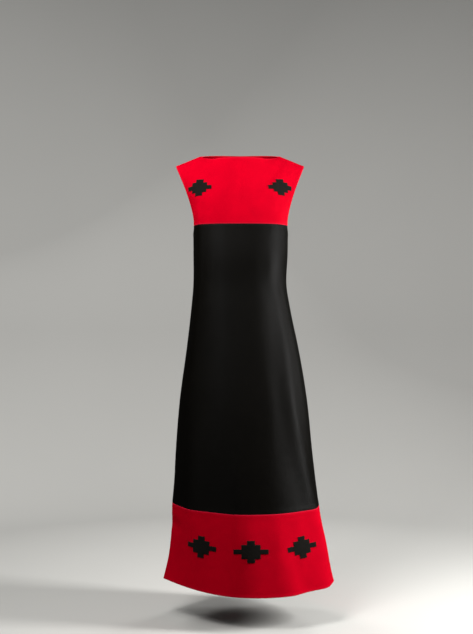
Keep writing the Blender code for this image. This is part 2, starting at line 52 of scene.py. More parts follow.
# Level threads of the skirt: the side seams in x, the centre lines and side seams in y, how far each side
# seam lifts out of the level, how flat the front and back are, and how square each side is.
sectionNames = "height left right front back side liftLeft liftRight flat cornerLeft cornerRight"
sectionRows = (
    (-0.2285, -0.1520, 0.1560, -0.130, 0.108, 0.000, 0.0000, 0.0000, 3.0, 2.60, 2.60),
    (-0.3200, -0.1515, 0.1550, -0.133, 0.104, 0.000, 0.0000, 0.0000, 2.8, 2.50, 2.50),
    (-0.4200, -0.1520, 0.1515, -0.131, 0.100, 0.000, 0.0000, 0.0000, 2.6, 2.30, 2.30),
    (-0.4980, -0.1590, 0.1640, -0.134, 0.108, 0.000, 0.0000, 0.0000, 2.5, 2.15, 2.20),
    (-0.6260, -0.1740, 0.1905, -0.140, 0.124, -0.002, 0.0000, 0.0000, 2.4, 1.95, 2.05),
    (-0.7890, -0.1960, 0.2180, -0.151, 0.142, -0.006, 0.0000, 0.0000, 2.3, 1.80, 1.95),
    (-0.9660, -0.2100, 0.2365, -0.163, 0.158, -0.014, 0.0020, 0.0010, 2.2, 1.65, 1.85),
    (-1.0640, -0.2150, 0.2475, -0.170, 0.166, -0.022, 0.0050, 0.0030, 2.1, 1.50, 1.75),
    (-1.1365, -0.2210, 0.2560, -0.175, 0.172, -0.030, 0.0076, 0.0050, 2.0, 1.40, 1.70),
    (-1.2280, -0.2240, 0.2665, -0.184, 0.180, -0.036, 0.0090, 0.0090, 2.0, 1.20, 1.65),
    (-1.3120, -0.2335, 0.2840, -0.192, 0.187, -0.041, 0.0105, 0.0125, 2.0, 1.05, 1.60),
    (-1.3885, -0.2510, 0.3022, -0.200, 0.195, -0.045, 0.0116, 0.0152, 2.0, 0.95, 1.60),
)

# Folds down the skirt, each a few rows of height, degrees round from the front centre, swell, half width.
skirtFolds = {
    "right hip": (
        (-0.40, 50, 0.000, 9), (-0.58, 49, 0.006, 9), (-0.78, 47, 0.009, 9), (-0.97, 56, 0.009, 10),
        (-1.13, 70, 0.009, 11), (-1.24, 78, 0.013, 13), (-1.39, 70, 0.010, 10),
    ),
    "right of centre": ((-1.05, 30, 0.000, 9), (-1.24, 31, 0.002, 9), (-1.39, 33, 0.006, 9)),
    "right hem hollow": ((-1.20, 54, 0.000, 9), (-1.39, 53, -0.004, 9)),
    "left knee": (
        (-0.80, -50, 0.000, 12), (-1.13, -56, 0.009, 12), (-1.27, -57, 0.006, 12), (-1.39, -58, 0.0, 12),
    ),
    "left front hollow": ((-0.95, -32, 0.000, 11), (-1.13, -33, -0.003, 11), (-1.39, -36, 0.000, 11)),
    "back right": ((-0.50, 130, 0.000, 12), (-1.00, 133, 0.009, 13), (-1.39, 138, 0.012, 13)),
    "back right hollow": ((-0.60, 156, 0.000, 10), (-1.39, 162, -0.008, 12)),
    "back left": ((-0.45, -128, 0.000, 12), (-0.95, -132, 0.008, 13), (-1.39, -130, 0.011, 13)),
    "back left hollow": ((-0.70, -150, 0.000, 10), (-1.39, -158, -0.007, 12)),
}

# Smaller creases of the hanging cloth, shallow and uneven, laid out in the same way.
smallFolds = {
    "right front corner": (
        (-0.15, 46, 0.004, 12), (-0.23, 46, 0.004, 12), (-0.36, 50, 0.003, 12), (-0.52, 54, 0.0, 12),
    ),
    "right thigh round": (
        (-0.36, 58, 0.0, 11), (-0.55, 62, 0.0035, 12), (-0.85, 65, 0.0035, 12), (-1.15, 74, 0.0, 12),
    ),
    "left front corner": (
        (-0.15, -57, 0.0035, 8), (-0.30, -58, 0.003, 8), (-0.60, -60, 0.002, 9), (-0.90, -60, 0.0, 9),
    ),
    "under right bust": ((-0.26, 34, 0.0, 6), (-0.36, 38, 0.0016, 7), (-0.50, 43, 0.0, 8)),
    "under left bust": ((-0.27, -38, 0.0, 7), (-0.40, -43, 0.0014, 8), (-0.60, -46, 0.0, 9)),
    "waist dip": ((-0.33, 8, 0.0, 14), (-0.45, 4, -0.0014, 18), (-0.62, 6, 0.0, 16)),
    "left thigh": ((-0.55, -20, 0.0, 7), (-0.78, -23, 0.0012, 8), (-0.98, -21, 0.0, 7)),
    "right thigh": ((-0.60, 21, 0.0, 6), (-0.84, 25, 0.0015, 7), (-1.10, 22, 0.0, 8)),
    "left of centre": ((-0.92, -8, 0.0, 6), (-1.12, -10, 0.0013, 7), (-1.30, -13, 0.0, 8)),
    "right shin": ((-0.98, 11, 0.0, 6), (-1.20, 13, -0.0010, 7), (-1.39, 12, 0.0012, 8)),
    "band ridge": (
        (-1.14, 28, 0.0, 6), (-1.22, 27, 0.003, 6), (-1.32, 24, 0.003, 7), (-1.39, 22, 0.002, 7),
    ),
    "band hollow": (
        (-1.16, 42, 0.0, 6), (-1.24, 42, -0.003, 7), (-1.33, 44, -0.003, 7), (-1.39, 46, -0.001, 7),
    ),
    "left dent": ((-1.17, -84, 0.0, 6), (-1.20, -83, -0.0035, 7), (-1.235, -82, 0.0, 6)),
    "right rim": ((-0.70, 83, 0.0, 7), (-1.00, 85, -0.002, 8), (-1.25, 92, 0.0, 8)),
    "back waist": ((-0.30, 172, 0.0, 10), (-0.44, 168, -0.0018, 12), (-0.58, 172, 0.0, 10)),
    "back seat left": ((-0.48, -163, 0.0, 8), (-0.70, -166, 0.0014, 9), (-0.95, -169, 0.0, 8)),
    "back seat right": ((-0.52, 163, 0.0, 8), (-0.76, 170, 0.0015, 9), (-1.02, 174, 0.0, 8)),
    "back knee": ((-0.88, -176, 0.0, 7), (-1.10, -172, 0.0018, 8), (-1.30, -174, 0.0, 8)),
    "back blade left": ((-0.25, -140, 0.0, 7), (-0.40, -146, 0.0015, 8), (-0.55, -148, 0.0, 8)),
    "back blade right": ((-0.24, 142, 0.0, 7), (-0.36, 147, 0.0013, 8), (-0.52, 150, 0.0, 8)),
}


def columnsOf(names, rows):  # a table written row by row, as one array for each named column
    return dict(zip(names.split(), np.array(rows, float).T))


def curveThrough(knots, values):
    # cubic through the knots, its slope at each the mean of its neighbours', held level past the ends,
    # laid out once in fine even steps and read between them
    order = np.argsort(knots)
    knots, values = np.asarray(knots, float)[order], np.asarray(values, float)[order]
    slopes = np.gradient(values, knots)
    at = np.linspace(knots[0], knots[-1], 1200)
    low = np.clip(np.searchsorted(knots, at) - 1, 0, len(knots) - 2)
    span = knots[low + 1] - knots[low]
    k = (at - knots[low]) / span
    line = (
        values[low] * (1 + 2 * k) * (1 - k) ** 2
        + values[low + 1] * k * k * (3 - 2 * k)
        + slopes[low] * span * k * (1 - k) ** 2
        - slopes[low + 1] * span * k * k * (1 - k)
    )
    return lambda where: np.interp(where, at, line)


def curvesOf(names, rows):  # one curve for each named column, over the first column
    columns = columnsOf(names, rows)
    first = names.split()[0]
    return {name: curveThrough(columns[first], column) for name, column in columns.items() if name != first}


def eased(k):  # 0 to 1 with level ends
    k = np.clip(k, 0, 1)
    return k * k * (3 - 2 * k)


sections = curvesOf(sectionNames, sectionRows)
allFolds = [curvesOf("height angle swell width", rows) for rows in {**skirtFolds, **smallFolds}.values()]


def foldSwell(angle, height):  # sum of bells across the cloth, each following its rows down the skirt
    swell = np.zeros(np.shape(angle))
    for fold in allFolds:
        away = (np.degrees(angle) - fold["angle"](height) + 180) % 360 - 180
        swell += fold["swell"](height) * np.exp(-((away / fold["width"](height)) ** 2))
    return swell


def skirt(angle, height):
    # a level ring with a flattened front and back: y falls off as a power of x, and folds swell it out
    angle, height = np.broadcast_arrays(np.asarray(angle, float), np.asarray(height, float))
    at = {name: curve(height) for name, curve in sections.items()}
    quarter = np.arcsin(np.clip(np.sin(angle), -1, 1))
    corner = np.where(quarter > 0, at["cornerRight"], at["cornerLeft"])
    roundness = np.clip(corner - 1, 0, 1)
    share = (1 - roundness) * quarter * 2 / math.pi + roundness * np.sin(quarter)
    bulge = np.clip(1 - np.abs(share) ** at["flat"], 0, 1) ** (1 / corner)
    middleX = (at["left"] + at["right"]) / 2
    middleY = at["side"] / 2
    x = middleX + (at["right"] - at["left"]) / 2 * share
    y = middleY * (1 + share) + (np.where(np.cos(angle) > 0, at["front"], at["back"]) - middleY) * bulge
    swell = foldSwell(angle, height) / np.hypot(x - middleX, y - middleY)
    lift = np.where(share > 0, at["liftRight"], at["liftLeft"]) * share**2
    return np.stack([x + swell * (x - middleX), y + swell * (y - middleY), height + lift], axis=-1)


def bodyCloth(angle, up):  # the black skirt from the band seam up to the yoke seam, scooped under the arms
    fromCentre = np.abs((np.asarray(angle) + math.pi) % (2 * math.pi) - math.pi)
    fromCentre = np.minimum(fromCentre, math.pi - fromCentre)
    k = np.clip((fromCentre - cut["armAngle"]) / (math.pi / 2 - cut["armAngle"]), 0, 1)
    top = cut["yokeSeam"] - (cut["yokeSeam"] - cut["underarm"]) * np.sqrt(1 - (1 - k) ** 2)
    return skirt(angle, cut["bandSeam"] + up * (top - cut["bandSeam"]))


def bandCloth(angle, up):  # the red band from the hem up to its seam
    return skirt(angle, cut["hem"] + up * (cut["bandSeam"] - cut["hem"]))


# The yoke: a boat neck, shoulders that run out past the arm, and soft creases from the armholes.
yokeCut = {
    "neckHalf": 0.129,
    "shoulderHalf": 0.2085,
    "shoulderDrop": 0.033,
    "neckShare": 0.62,  # share of the width that ends at the neckline, the rest at the shoulder seam
    "armholeEarly": -0.03,  # share of the way out to the shoulder tip that the armhole has gone, low down
    "armholeLate": 1.10,  # and high up
    "creaseLean": 65,  # creases push straight out at the yoke seam, and this far round to up at the top edge
    "creaseFade": (0.10, 0.12),  # shares of the height over which they die out at the two seams
    "front": {
        "depth": 0.062, "rise": -0.0138, "power": 6.0,
        "bends": (  # share of the width, rise, pull, climb at the top edge in degrees
            (0.00, 0.075, 0.060, 58), (0.40, 0.078, 0.060, 45),
            (0.62, 0.080, 0.060, 14), (1.00, 0.070, 0.052, 0),
        ),
        "creases": (  # x and z of both ends, depth, half width
            (0.129, -0.026, 0.098, -0.092, -0.0030, 0.015),
            (0.150, -0.150, 0.118, -0.222, 0.0022, 0.010),
            (0.165, -0.060, 0.150, -0.100, 0.0016, 0.012),
            (-0.060, -0.014, 0.062, -0.013, 0.0030, 0.013),
            (-0.150, -0.150, -0.105, -0.185, -0.0018, 0.012),
            (-0.146, -0.190, -0.120, -0.222, 0.0014, 0.009),
            (-0.120, -0.035, -0.085, -0.075, -0.0012, 0.016),
        ),
    },
    "back": {
        "depth": 0.055, "rise": 0.010, "power": 3.0,
        "bends": (
            (0.00, 0.080, 0.062, 66), (0.40, 0.082, 0.062, 48),
            (0.62, 0.084, 0.060, 14), (1.00, 0.074, 0.050, 0),
        ),
        "creases": (
            (0.150, -0.140, 0.100, -0.175, -0.0020, 0.013),
            (0.155, -0.185, 0.128, -0.222, 0.0016, 0.009),
            (-0.152, -0.130, -0.106, -0.170, -0.0018, 0.014),
            (-0.150, -0.190, -0.126, -0.220, 0.0014, 0.010),
            (-0.110, -0.030, -0.070, -0.070, -0.0013, 0.016),
            (0.118, -0.028, 0.080, -0.080, -0.0015, 0.015),
        ),
    },
}


def creaseRelief(rows, x, z):  # sum of bells along short lines in the front view, fading at both ends
    relief = np.zeros(np.shape(x))
    for x0, z0, x1, z1, depth, width in rows:
        length = math.hypot(x1 - x0, z1 - z0)
        along = ((x - x0) * (x1 - x0) + (z - z0) * (z1 - z0)) / length
        aside = ((x - x0) * (z1 - z0) - (z - z0) * (x1 - x0)) / length
        past = np.maximum(np.maximum(-along, along - length), 0)
        relief += depth * np.exp(-(aside**2 + past**2) / width**2)
    return relief


def yokeCloth(across, up, side):
    # columns bent as cubic curves from the yoke seam to the neckline or shoulder seam, side 1 in front
    across, up = np.broadcast_arrays(np.asarray(across, float), np.asarray(up, float))
    part = yokeCut["front" if side > 0 else "back"]
    bends = curvesOf("share rise pull climb", part["bends"])
    reach = np.abs(across)
    angle = across * cut["armAngle"] if side > 0 else math.pi - across * cut["armAngle"]
    toNeck = np.clip(reach / yokeCut["neckShare"], 0, 1)
    toTip = np.clip((reach - yokeCut["neckShare"]) / (1 - yokeCut["neckShare"]), 0, 1)
    headX = yokeCut["neckHalf"] * toNeck + (yokeCut["shoulderHalf"] - yokeCut["neckHalf"]) * toTip
    headY = -side * part["depth"] * (1 - toNeck**2)
    headZ = cut["wall"] + part["rise"] * (1 - toNeck ** part["power"]) - yokeCut["shoulderDrop"] * toTip
    head = np.stack([np.sign(across) * headX, headY, headZ], axis=-1)
    foot = skirt(angle, cut["yokeSeam"])
    start = foot - skirt(angle, cut["yokeSeam"] - 0.01)
    start = start / np.linalg.norm(start, axis=-1, keepdims=True)
    climb = np.radians(bends["climb"](reach))
    over = np.stack([np.zeros_like(climb), side * np.cos(climb), np.sin(climb)], axis=-1)
    second = foot + start * bends["rise"](reach)[..., None]
    third = head - over * bends["pull"](reach)[..., None]
    spread = head[..., 0] - foot[..., 0]
    second[..., 0] = foot[..., 0] + spread * (1 / 3 + (yokeCut["armholeEarly"] - 1 / 3) * reach**2)
    third[..., 0] = foot[..., 0] + spread * (2 / 3 + (yokeCut["armholeLate"] - 2 / 3) * reach**2)
    k = up[..., None]
    face = foot * (1 - k) ** 3 + 3 * second * k * (1 - k) ** 2 + 3 * third * k * k * (1 - k) + head * k**3
    lean = np.radians(yokeCut["creaseLean"]) * up
    low, high = yokeCut["creaseFade"]
    depth = creaseRelief(part["creases"], face[..., 0], face[..., 2]) * eased(up / low)
    depth = depth * np.where(reach > yokeCut["neckShare"], eased((1 - up) / high), 1)
    face[..., 1] -= side * depth * np.cos(lean)
    face[..., 2] += depth * np.sin(lean)
    return face


def frontYoke(across, up):
    return yokeCloth(across, up, 1)


def backYoke(across, up):
    return yokeCloth(across, up, -1)


def unit(vectors):
    return vectors / np.linalg.norm(vectors, axis=-1, keepdims=True)


def outward(surface, p, q, flip=False):  # unit normal out of the cloth, from small steps both ways
    step = 1e-4
    along = surface(p + step, q) - surface(p - step, q)
    inside = np.clip(q, step, 1 - step)
    rise = surface(p, inside + step) - surface(p, inside - step)
    out = unit(np.cross(along, rise))
    return -out if flip else out


# Looks
def linear(hexColour):  # an sRGB hex value as the linear colour that shaders take
    parts = np.array([int(hexColour[n : n + 2], 16) / 255 for n in (0, 2, 4)])
    parts = np.where(parts <= 0.04045, parts / 12.92, ((parts + 0.055) / 1.055) ** 2.4)
    return (*parts.tolist(), 1.0)


def addNode(tree, kind, settings=None, links=None):
    # one node: settings are its properties or its sockets' values, links are sockets fed by other nodes
    node = tree.nodes.new(kind)
    for key, value in (settings or {}).items():
        if isinstance(key, str) and hasattr(node, key):
            setattr(node, key, value)
        else:
            node.inputs[key].default_value = value
    for key, (source, output) in (links or {}).items():
        tree.links.new(source.outputs[output], node.inputs[key])
    return node


def addMaths(tree, operation, *terms):  # each term is a number or another node's output
    values = {place: term for place, term in enumerate(terms) if not isinstance(term, tuple)}
    links = {place: term for place, term in enumerate(terms) if isinstance(term, tuple)}
    return addNode(tree, "ShaderNodeMath", {"operation": operation, **values}, links)


def addTone(tree, share, low, high):  # a mix of two colours, each a hex value or another node's output
    ends = {6: low, 7: high}
    values = {place: linear(end) for place, end in ends.items() if isinstance(end, str)}
    links = {place: end for place, end in ends.items() if not isinstance(end, str)}
    return addNode(tree, "ShaderNodeMix", {"data_type": "RGBA", **values}, {0: share, **links})


def addBump(tree, strength, depth, height, under=None):  # low relief, over another one's where it's given
    links = {"Height": height, "Normal": (under, "Normal")} if under else {"Height": height}
    return addNode(tree, "ShaderNodeBump", {"Strength": strength, "Distance": depth}, links)


def finish(tree, shader, colour, bump):
    tree.links.new(colour.outputs[2], shader.inputs["Base Color"])
    tree.links.new(bump.outputs["Normal"], shader.inputs["Normal"])


def newMaterial(name, shaderValues):
    material = bpy.data.materials.new(name)
    material.use_nodes = True
    shader = material.node_tree.nodes["Principled BSDF"]
    for key, value in shaderValues.items():
        shader.inputs[key].default_value = value
    return material, material.node_tree, shader


redWool = {
    "shade": "b8001a",  # scarlet piece-dyed wool, deepest between the fibres
    "tip": "d4001f",  # and a little lighter on the raised nap
    "edge": "ff3a5c",  # painted highlight along the edges, where the nap would catch more light; also the colour of lint specks
    "edgeHighlightShare": 0.45,
    "waleMm": 1.3,  # knit ribs are 1.3 mm apart
    "courseMm": 1.0,
    "knitDepth": 0.00010,
    "napMm": 0.7,
    "napDepth": 0.00016,
    "cloudMm": 55,  # soft clouds of tone where the nap lies differently
    "cloudShare": 0.16,
    "roughness": 0.92,
    "sheen": 0.06,
    "sheenTint": "ff0a24",
    "specular": 0.10,
    "specularTint": "ff0010",  # what little the dyed fibres reflect is red too
}
blackWool = {
    "shade": "060503",  # black wool with a warm cast
    "tip": "0b0906",
    # painted highlight along the edges, and the colour of lint specks
    "edge": "3a3834",
    "edgeHighlightShare": 0.12,
    "waleMm": 1.3,
    "courseMm": 1.0,
    "knitDepth": 0.00010,
    "napMm": 0.7,
    "napDepth": 0.00016,
    "cloudMm": 70,
    "cloudShare": 0.20,
    "roughness": 0.46,  # fulled and pressed, so a low light draws a broad dull gloss down its turned side
    "sheen": 0.0,
    "sheenTint": "c8cabf",
    "specular": 0.075,
    "specularTint": "ffffff",
}
blackFelt = {
    "shade": "100e0b",  # thin black wool felt of the diamonds, with no knit to see
    "tip": "1a1815",
    # painted sheen along the felt's edges, and the colour of lint specks
    "edge": "2c2a27",
    "edgeHighlightShare": 0.25,
    "waleMm": 0.9,
    "courseMm": 0.9,
    "knitDepth": 0.00002,
    "napMm": 0.5,
    "napDepth": 0.00018,
    "cloudMm": 25,
    "cloudShare": 0.18,
    "roughness": 0.92,
    "sheen": 0.06,
    "sheenTint": "c0c0ba",
    "specular": 0.08,
    "specularTint": "ffffff",
}


# Specks of lint on the wool: their spacing, their core and rim as shares of it, and how much they show.
lint = {"apartMm": 9.0, "core": 0.02, "rim": 0.05, "share": 0.35}


def woolMaterial(name, look):
    # fulled double-knit wool: faint rows of v-shaped loops under a short matt nap, lint specks, and a painted
    # highlight along the edges
    material, tree, shader = newMaterial(name, {
        "Roughness": look["roughness"],
        "Specular IOR Level": look["specular"],
        "Specular Tint": linear(look["specularTint"]),
        "Sheen Weight": look["sheen"],
        "Sheen Roughness": 0.5,
        "Sheen Tint": linear(look["sheenTint"]),
    })
    cloth = addNode(tree, "ShaderNodeTexCoord")
    perMetre = addNode(tree, "ShaderNodeMapping", {
        "Scale": (1000 / look["waleMm"], 1000 / look["courseMm"], 1),
    }, {"Vector": (cloth, "UV")})
    loops = addNode(tree, "ShaderNodeSeparateXYZ", None, {"Vector": (perMetre, "Vector")})
    slant = addMaths(tree, "PINGPONG", (loops, "X"), 0.5)
    climb = addMaths(tree, "ADD", (loops, "Y"), (slant, 0))
    turns = addMaths(tree, "MULTIPLY", (climb, 0), 2 * math.pi)
    course = addMaths(tree, "SINE", (turns, 0))
    ribTurns = addMaths(tree, "MULTIPLY", (loops, "X"), 2 * math.pi)
    rib = addMaths(tree, "COSINE", (ribTurns, 0))
    knit = addMaths(tree, "SUBTRACT", (course, 0), (rib, 0))
    nap = addNode(tree, "ShaderNodeTexNoise", {
        "Scale": 1000 / look["napMm"], "Detail": 4.0, "Roughness": 0.65,
    }, {"Vector": (cloth, "Object")})
    cloud = addNode(tree, "ShaderNodeTexNoise", {
        "Scale": 1000 / look["cloudMm"], "Detail": 3.0, "Roughness": 0.55, "Distortion": 0.4,
    }, {"Vector": (cloth, "Object")})
    fluff = addNode(tree, "ShaderNodeTexVoronoi", {"Scale": 1000 / lint["apartMm"], "Randomness": 1.0}, {
        "Vector": (cloth, "Object"),
    })
    speck = addNode(tree, "ShaderNodeMapRange", {
        "From Min": lint["rim"], "From Max": lint["core"], "To Min": 0.0, "To Max": lint["share"],
    }, {"Value": (fluff, "Distance")})
    napShare = addNode(tree, "ShaderNodeMapRange", {
        "From Min": 0.3, "From Max": 0.7, "To Min": 0.15, "To Max": 0.85,
    }, {"Value": (nap, "Fac")})
    cloudShare = addNode(tree, "ShaderNodeMapRange", {
        "From Min": 0.3, "From Max": 0.7, "To Min": -look["cloudShare"], "To Max": look["cloudShare"],
    }, {"Value": (cloud, "Fac")})
    share = addNode(tree, "ShaderNodeMath", {"operation": "ADD", "use_clamp": True}, {
        0: (napShare, "Result"), 1: (cloudShare, "Result"),
    })
    tone = addTone(tree, (share, 0), look["shade"], look["tip"])
    linted = addTone(tree, (speck, "Result"), (tone, 2), look["edge"])
    # painted highlight: near the edges the colour is mixed towards the light edge tone
    edgeHighlight = addNode(tree, "ShaderNodeAttribute", {"attribute_name": "edgeHighlight"})
    paintedEdgeLight = addMaths(tree, "MULTIPLY", (edgeHighlight, "Fac"), look["edgeHighlightShare"])
    colour = addTone(tree, (paintedEdgeLight, 0), (linted, 2), look["edge"])
    knitBump = addBump(tree, 0.6, look["knitDepth"], (knit, 0))
    finish(tree, shader, colour, addBump(tree, 0.7, look["napDepth"], (nap, "Fac"), knitBump))
    return material


zipTapeLook = {"warp": "15130f", "weft": "211f1b", "ribMm": 1.1, "depth": 0.00012}


def tapeMaterial():
    # cotton herringbone tape: its ribs lean one way, then the other, and it is smoother than the wool
    material, tree, shader = newMaterial("zipTapeCotton", {"Roughness": 0.78, "Specular IOR Level": 0.25})
    cloth = addNode(tree, "ShaderNodeTexCoord")
    perMetre = addNode(tree, "ShaderNodeMapping", {
        "Scale": (1000 / (4 * zipTapeLook["ribMm"]), 1000 / zipTapeLook["ribMm"], 1),
    }, {"Vector": (cloth, "UV")})
    ribs = addNode(tree, "ShaderNodeSeparateXYZ", None, {"Vector": (perMetre, "Vector")})
    lean = addMaths(tree, "PINGPONG", (ribs, "X"), 0.5)
    steep = addMaths(tree, "MULTIPLY_ADD", (lean, 0), 4.0, (ribs, "Y"))
    turns = addMaths(tree, "MULTIPLY", (steep, 0), 2 * math.pi)
    wave = addMaths(tree, "SINE", (turns, 0))
    share = addNode(tree, "ShaderNodeMapRange", {"From Min": -1.0, "From Max": 1.0}, {"Value": (wave, 0)})
    colour = addTone(tree, (share, "Result"), zipTapeLook["weft"], zipTapeLook["warp"])
    finish(tree, shader, colour, addBump(tree, 0.8, zipTapeLook["depth"], (wave, 0)))
    return material


zipMetalLook = {
    "bright": "b9b6ae",
    "worn": "86827a",
    "scratches": (4000, 4000, 120),  # per metre each way: the brushing runs up and down
    "smudgeMm": 3.0,
    "roughness": (0.22, 0.42),
    "depth": 0.00002,
}


def zipMetalMaterial():
    # nickel-plated brass: fine brushing along its length, duller where hands have worn it
    material, tree, shader = newMaterial("zipNickel", {"Metallic": 1.0})
    place = addNode(tree, "ShaderNodeTexCoord")
    perMetre = addNode(tree, "ShaderNodeMapping", {"Scale": zipMetalLook["scratches"]}, {
        "Vector": (place, "Object"),
    })
    scratch = addNode(tree, "ShaderNodeTexNoise", {"Scale": 1.0, "Detail": 3.0}, {
        "Vector": (perMetre, "Vector"),
    })
    smudge = addNode(tree, "ShaderNodeTexNoise", {"Scale": 1000 / zipMetalLook["smudgeMm"], "Detail": 3.0}, {
        "Vector": (place, "Object"),
    })
    colour = addTone(tree, (smudge, "Fac"), zipMetalLook["bright"], zipMetalLook["worn"])
    smooth, dull = zipMetalLook["roughness"]
    rough = addNode(tree, "ShaderNodeMapRange", {"To Min": smooth, "To Max": dull}, {
        "Value": (smudge, "Fac"),
    })
    tree.links.new(rough.outputs["Result"], shader.inputs["Roughness"])
    finish(tree, shader, colour, addBump(tree, 0.3, zipMetalLook["depth"], (scratch, "Fac")))
    return material


threadLook = {"dark": "0e0d0c", "light": "2a2825", "twistMm": 0.35, "depth": 0.00005}


def threadMaterial():
    # mercerised cotton thread: a soft gloss broken by its twist
    material, tree, shader = newMaterial("blackThread", {"Roughness": 0.55, "Specular IOR Level": 0.4})
    place = addNode(tree, "ShaderNodeTexCoord")
    twist = addNode(tree, "ShaderNodeTexNoise", {"Scale": 1000 / threadLook["twistMm"], "Detail": 2.0}, {
        "Vector": (place, "Object"),
    })
    colour = addTone(tree, (twist, "Fac"), threadLook["dark"], threadLook["light"])
    finish(tree, shader, colour, addBump(tree, 0.5, threadLook["depth"], (twist, "Fac")))
    return material


looks = {
    "red": woolMaterial("scarletDoubleKnitWool", redWool),
    "black": woolMaterial("blackDoubleKnitWool", blackWool),
    "felt": woolMaterial("blackWoolFelt", blackFelt),
    "tape": tapeMaterial(),
    "metal": zipMetalMaterial(),
    "thread": threadMaterial(),
}
print("materials made:", ", ".join(looks))


# Meshes
def addPiece(name, points, faces, look, body="dress", uv=None, edgeHighlight=None, nodes=()):
    mesh = bpy.data.meshes.new(name)
    mesh.from_pydata(points.tolist(), [], faces.tolist() if hasattr(faces, "tolist") else faces)
    corners = np.zeros(len(mesh.loops), int)
    mesh.loops.foreach_get("vertex_index", corners)
    if uv is not None:
        layer = mesh.uv_layers.new(name="cloth")
        layer.data.foreach_set("uv", uv[corners].astype(np.float32).ravel())
    # each point's share of the painted edge highlight
    if edgeHighlight is not None:
        layer = mesh.attributes.new("edgeHighlight", "FLOAT", "POINT")
        layer.data.foreach_set("value", edgeHighlight.astype(np.float32))
    mesh.shade_smooth()
    mesh.materials.append(look)
    piece = bpy.data.objects.new(name, mesh)
    bpy.context.scene.collection.objects.link(piece)
    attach(piece, body)
    if nodes:
        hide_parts(*nodes)
    return piece


def shellFromCells(outer, inner, keep, uv, edgeHighlight):
    # two sheets over the kept cells of one grid, sharing the points along their outline
    wide, high = outer.shape[:2]
    padded = np.zeros((wide + 1, high + 1), bool)
    padded[1:-1, 1:-1] = keep
    around = np.stack([padded[:-1, :-1], padded[1:, :-1], padded[:-1, 1:], padded[1:, 1:]])
    used, inside = around.any(0), around.all(0)
    outerAt = np.full((wide, high), -1)
    outerAt[used] = np.arange(used.sum())
    innerAt = outerAt.copy()
    innerAt[inside] = used.sum() + np.arange(inside.sum())
    i, j = np.nonzero(keep)
    ring = [(i, j), (i + 1, j), (i + 1, j + 1), (i, j + 1)]
    faces = np.concatenate([
        np.stack([outerAt[a, b] for a, b in ring], axis=-1),
        np.stack([innerAt[a, b] for a, b in reversed(ring)], axis=-1),
    ])
    return (
        np.concatenate([outer[used], inner[inside]]),
        faces,
        np.concatenate([uv[used], uv[inside]]),
        np.concatenate([edgeHighlight[used], 0 * edgeHighlight[inside]]),
    )


def lengthsAlong(points, axis):  # distance along the grid lines from their first point
    steps = np.linalg.norm(np.diff(points, axis=axis), axis=-1)
    start = np.zeros_like(np.take(steps, [0], axis=axis))
    return np.concatenate([start, np.cumsum(steps, axis=axis)], axis=axis)


edges = {
    "near": (0.0, 0.00015, 0.0004, 0.0008, 0.0014, 0.0024, 0.0042),  # lines beside an edge, from it
    # what lies behind each kind of edge: how far it shows through, how much it lifts, over what it ends
    "seam": {"width": 0.012, "step": 0.00045, "fade": 0.003},
    "turned": {"width": 0.007, "step": 0.00055, "fade": 0.002},
    "flush": 0.0012,  # at the edge itself nothing is lifted or drawn in, and this far in all of it is
    "puckerDepth": 0.00035,  # the thread draws the cloth in unevenly beside a seam
    "puckerReach": 0.007,
    "puckerMean": 0.5,
    "puckerWaves": ((310, 0.7, 0.30), (173, 2.1, 0.30), (89, 0.0, 0.18)),  # radians a metre, start, share
    # how far in from an edge its painted highlight fades
    "highlightReach": 0.0016,
    "highlightUpright": 0.4,  # the painted edge highlight is weaker on side and centre seams than on the neck, the hem and the level seams
}


def edgeLines(length, step):
    # distances from the first edge: close together beside both edges, then in even steps
    near = np.array(edges["near"])
    count = max(2, int(round((length - 2 * near[-1]) / step)))
    even = np.linspace(near[-1], length - near[-1], count + 1)
    return np.concatenate([near[:-1], even, length - near[-2::-1]])


def acrossRows(surface, span, q, length, at, centre, aside):
    # parameters where every row has its lines at true distances, read from finely stepped rows: lines beside
    # an edge keep theirs, and the rest share out what the row is longer than the mean, or stands aside
    near = edges["near"][-1]
    k = np.linspace(0, 1, 600)
    fine = span[0] + (span[1] - span[0]) * k**3 / (k**3 + (1 - k) ** 3)
    lengths = lengthsAlong(surface(*np.meshgrid(fine, q, indexing="ij")), 0)
    share = np.clip((at[:, None] - near) / (length - 2 * near), 0, 1)
    first, last = aside
    wanted = at[:, None] + first * (1 - share) + (lengths[-1] - length - last) * share
    rows = range(len(q))
    p = np.stack([np.interp(wanted[:, row], lengths[:, row], fine) for row in rows], axis=1)
    return p, wanted - np.array([np.interp(centre, fine, lengths[:, row]) for row in rows])


def roundedDrop(away, half):  # how far a round edge falls back from its face, by the distance in from it
    return half * (1 - np.sqrt(1 - np.clip(1 - away / half, 0, 1) ** 2))


slit = {  # the back edges stand aside round the zip's slider, which sits this far down from the neck edge
    "drop": 0.018,
    "open": 0.0012,
    "reach": 0.016,
    "lookFrom": -0.1,  # its place on the centre back line is looked for from this height up, in these steps
    "lookStep": 0.0005,
}


def sliderPoint():  # on the face of the cloth at the centre back, measured down from the neck edge
    ups = np.linspace(0, 1, 400)
    line = backYoke(0 * ups, ups)[::-1]
    up = np.interp(slit["drop"], lengthsAlong(line[:, None], 0)[:, 0], ups[::-1])
    return backYoke(0.0, up)


def edgeRelief(distance, kind, along):
    # how far the cloth lifts beside one edge, and along a seam how far its thread draws it in
    fold = edges[kind]
    relief = fold["step"] * (1 - eased((distance - fold["width"]) / fold["fade"] + 0.5))
    if kind == "seam":
        waves = [share * np.sin(along * rate + start) for rate, start, share in edges["puckerWaves"]]
        drawn = edges["puckerMean"] + sum(waves)
        relief -= edges["puckerDepth"] * np.exp(-distance / edges["puckerReach"]) * drawn
    return relief


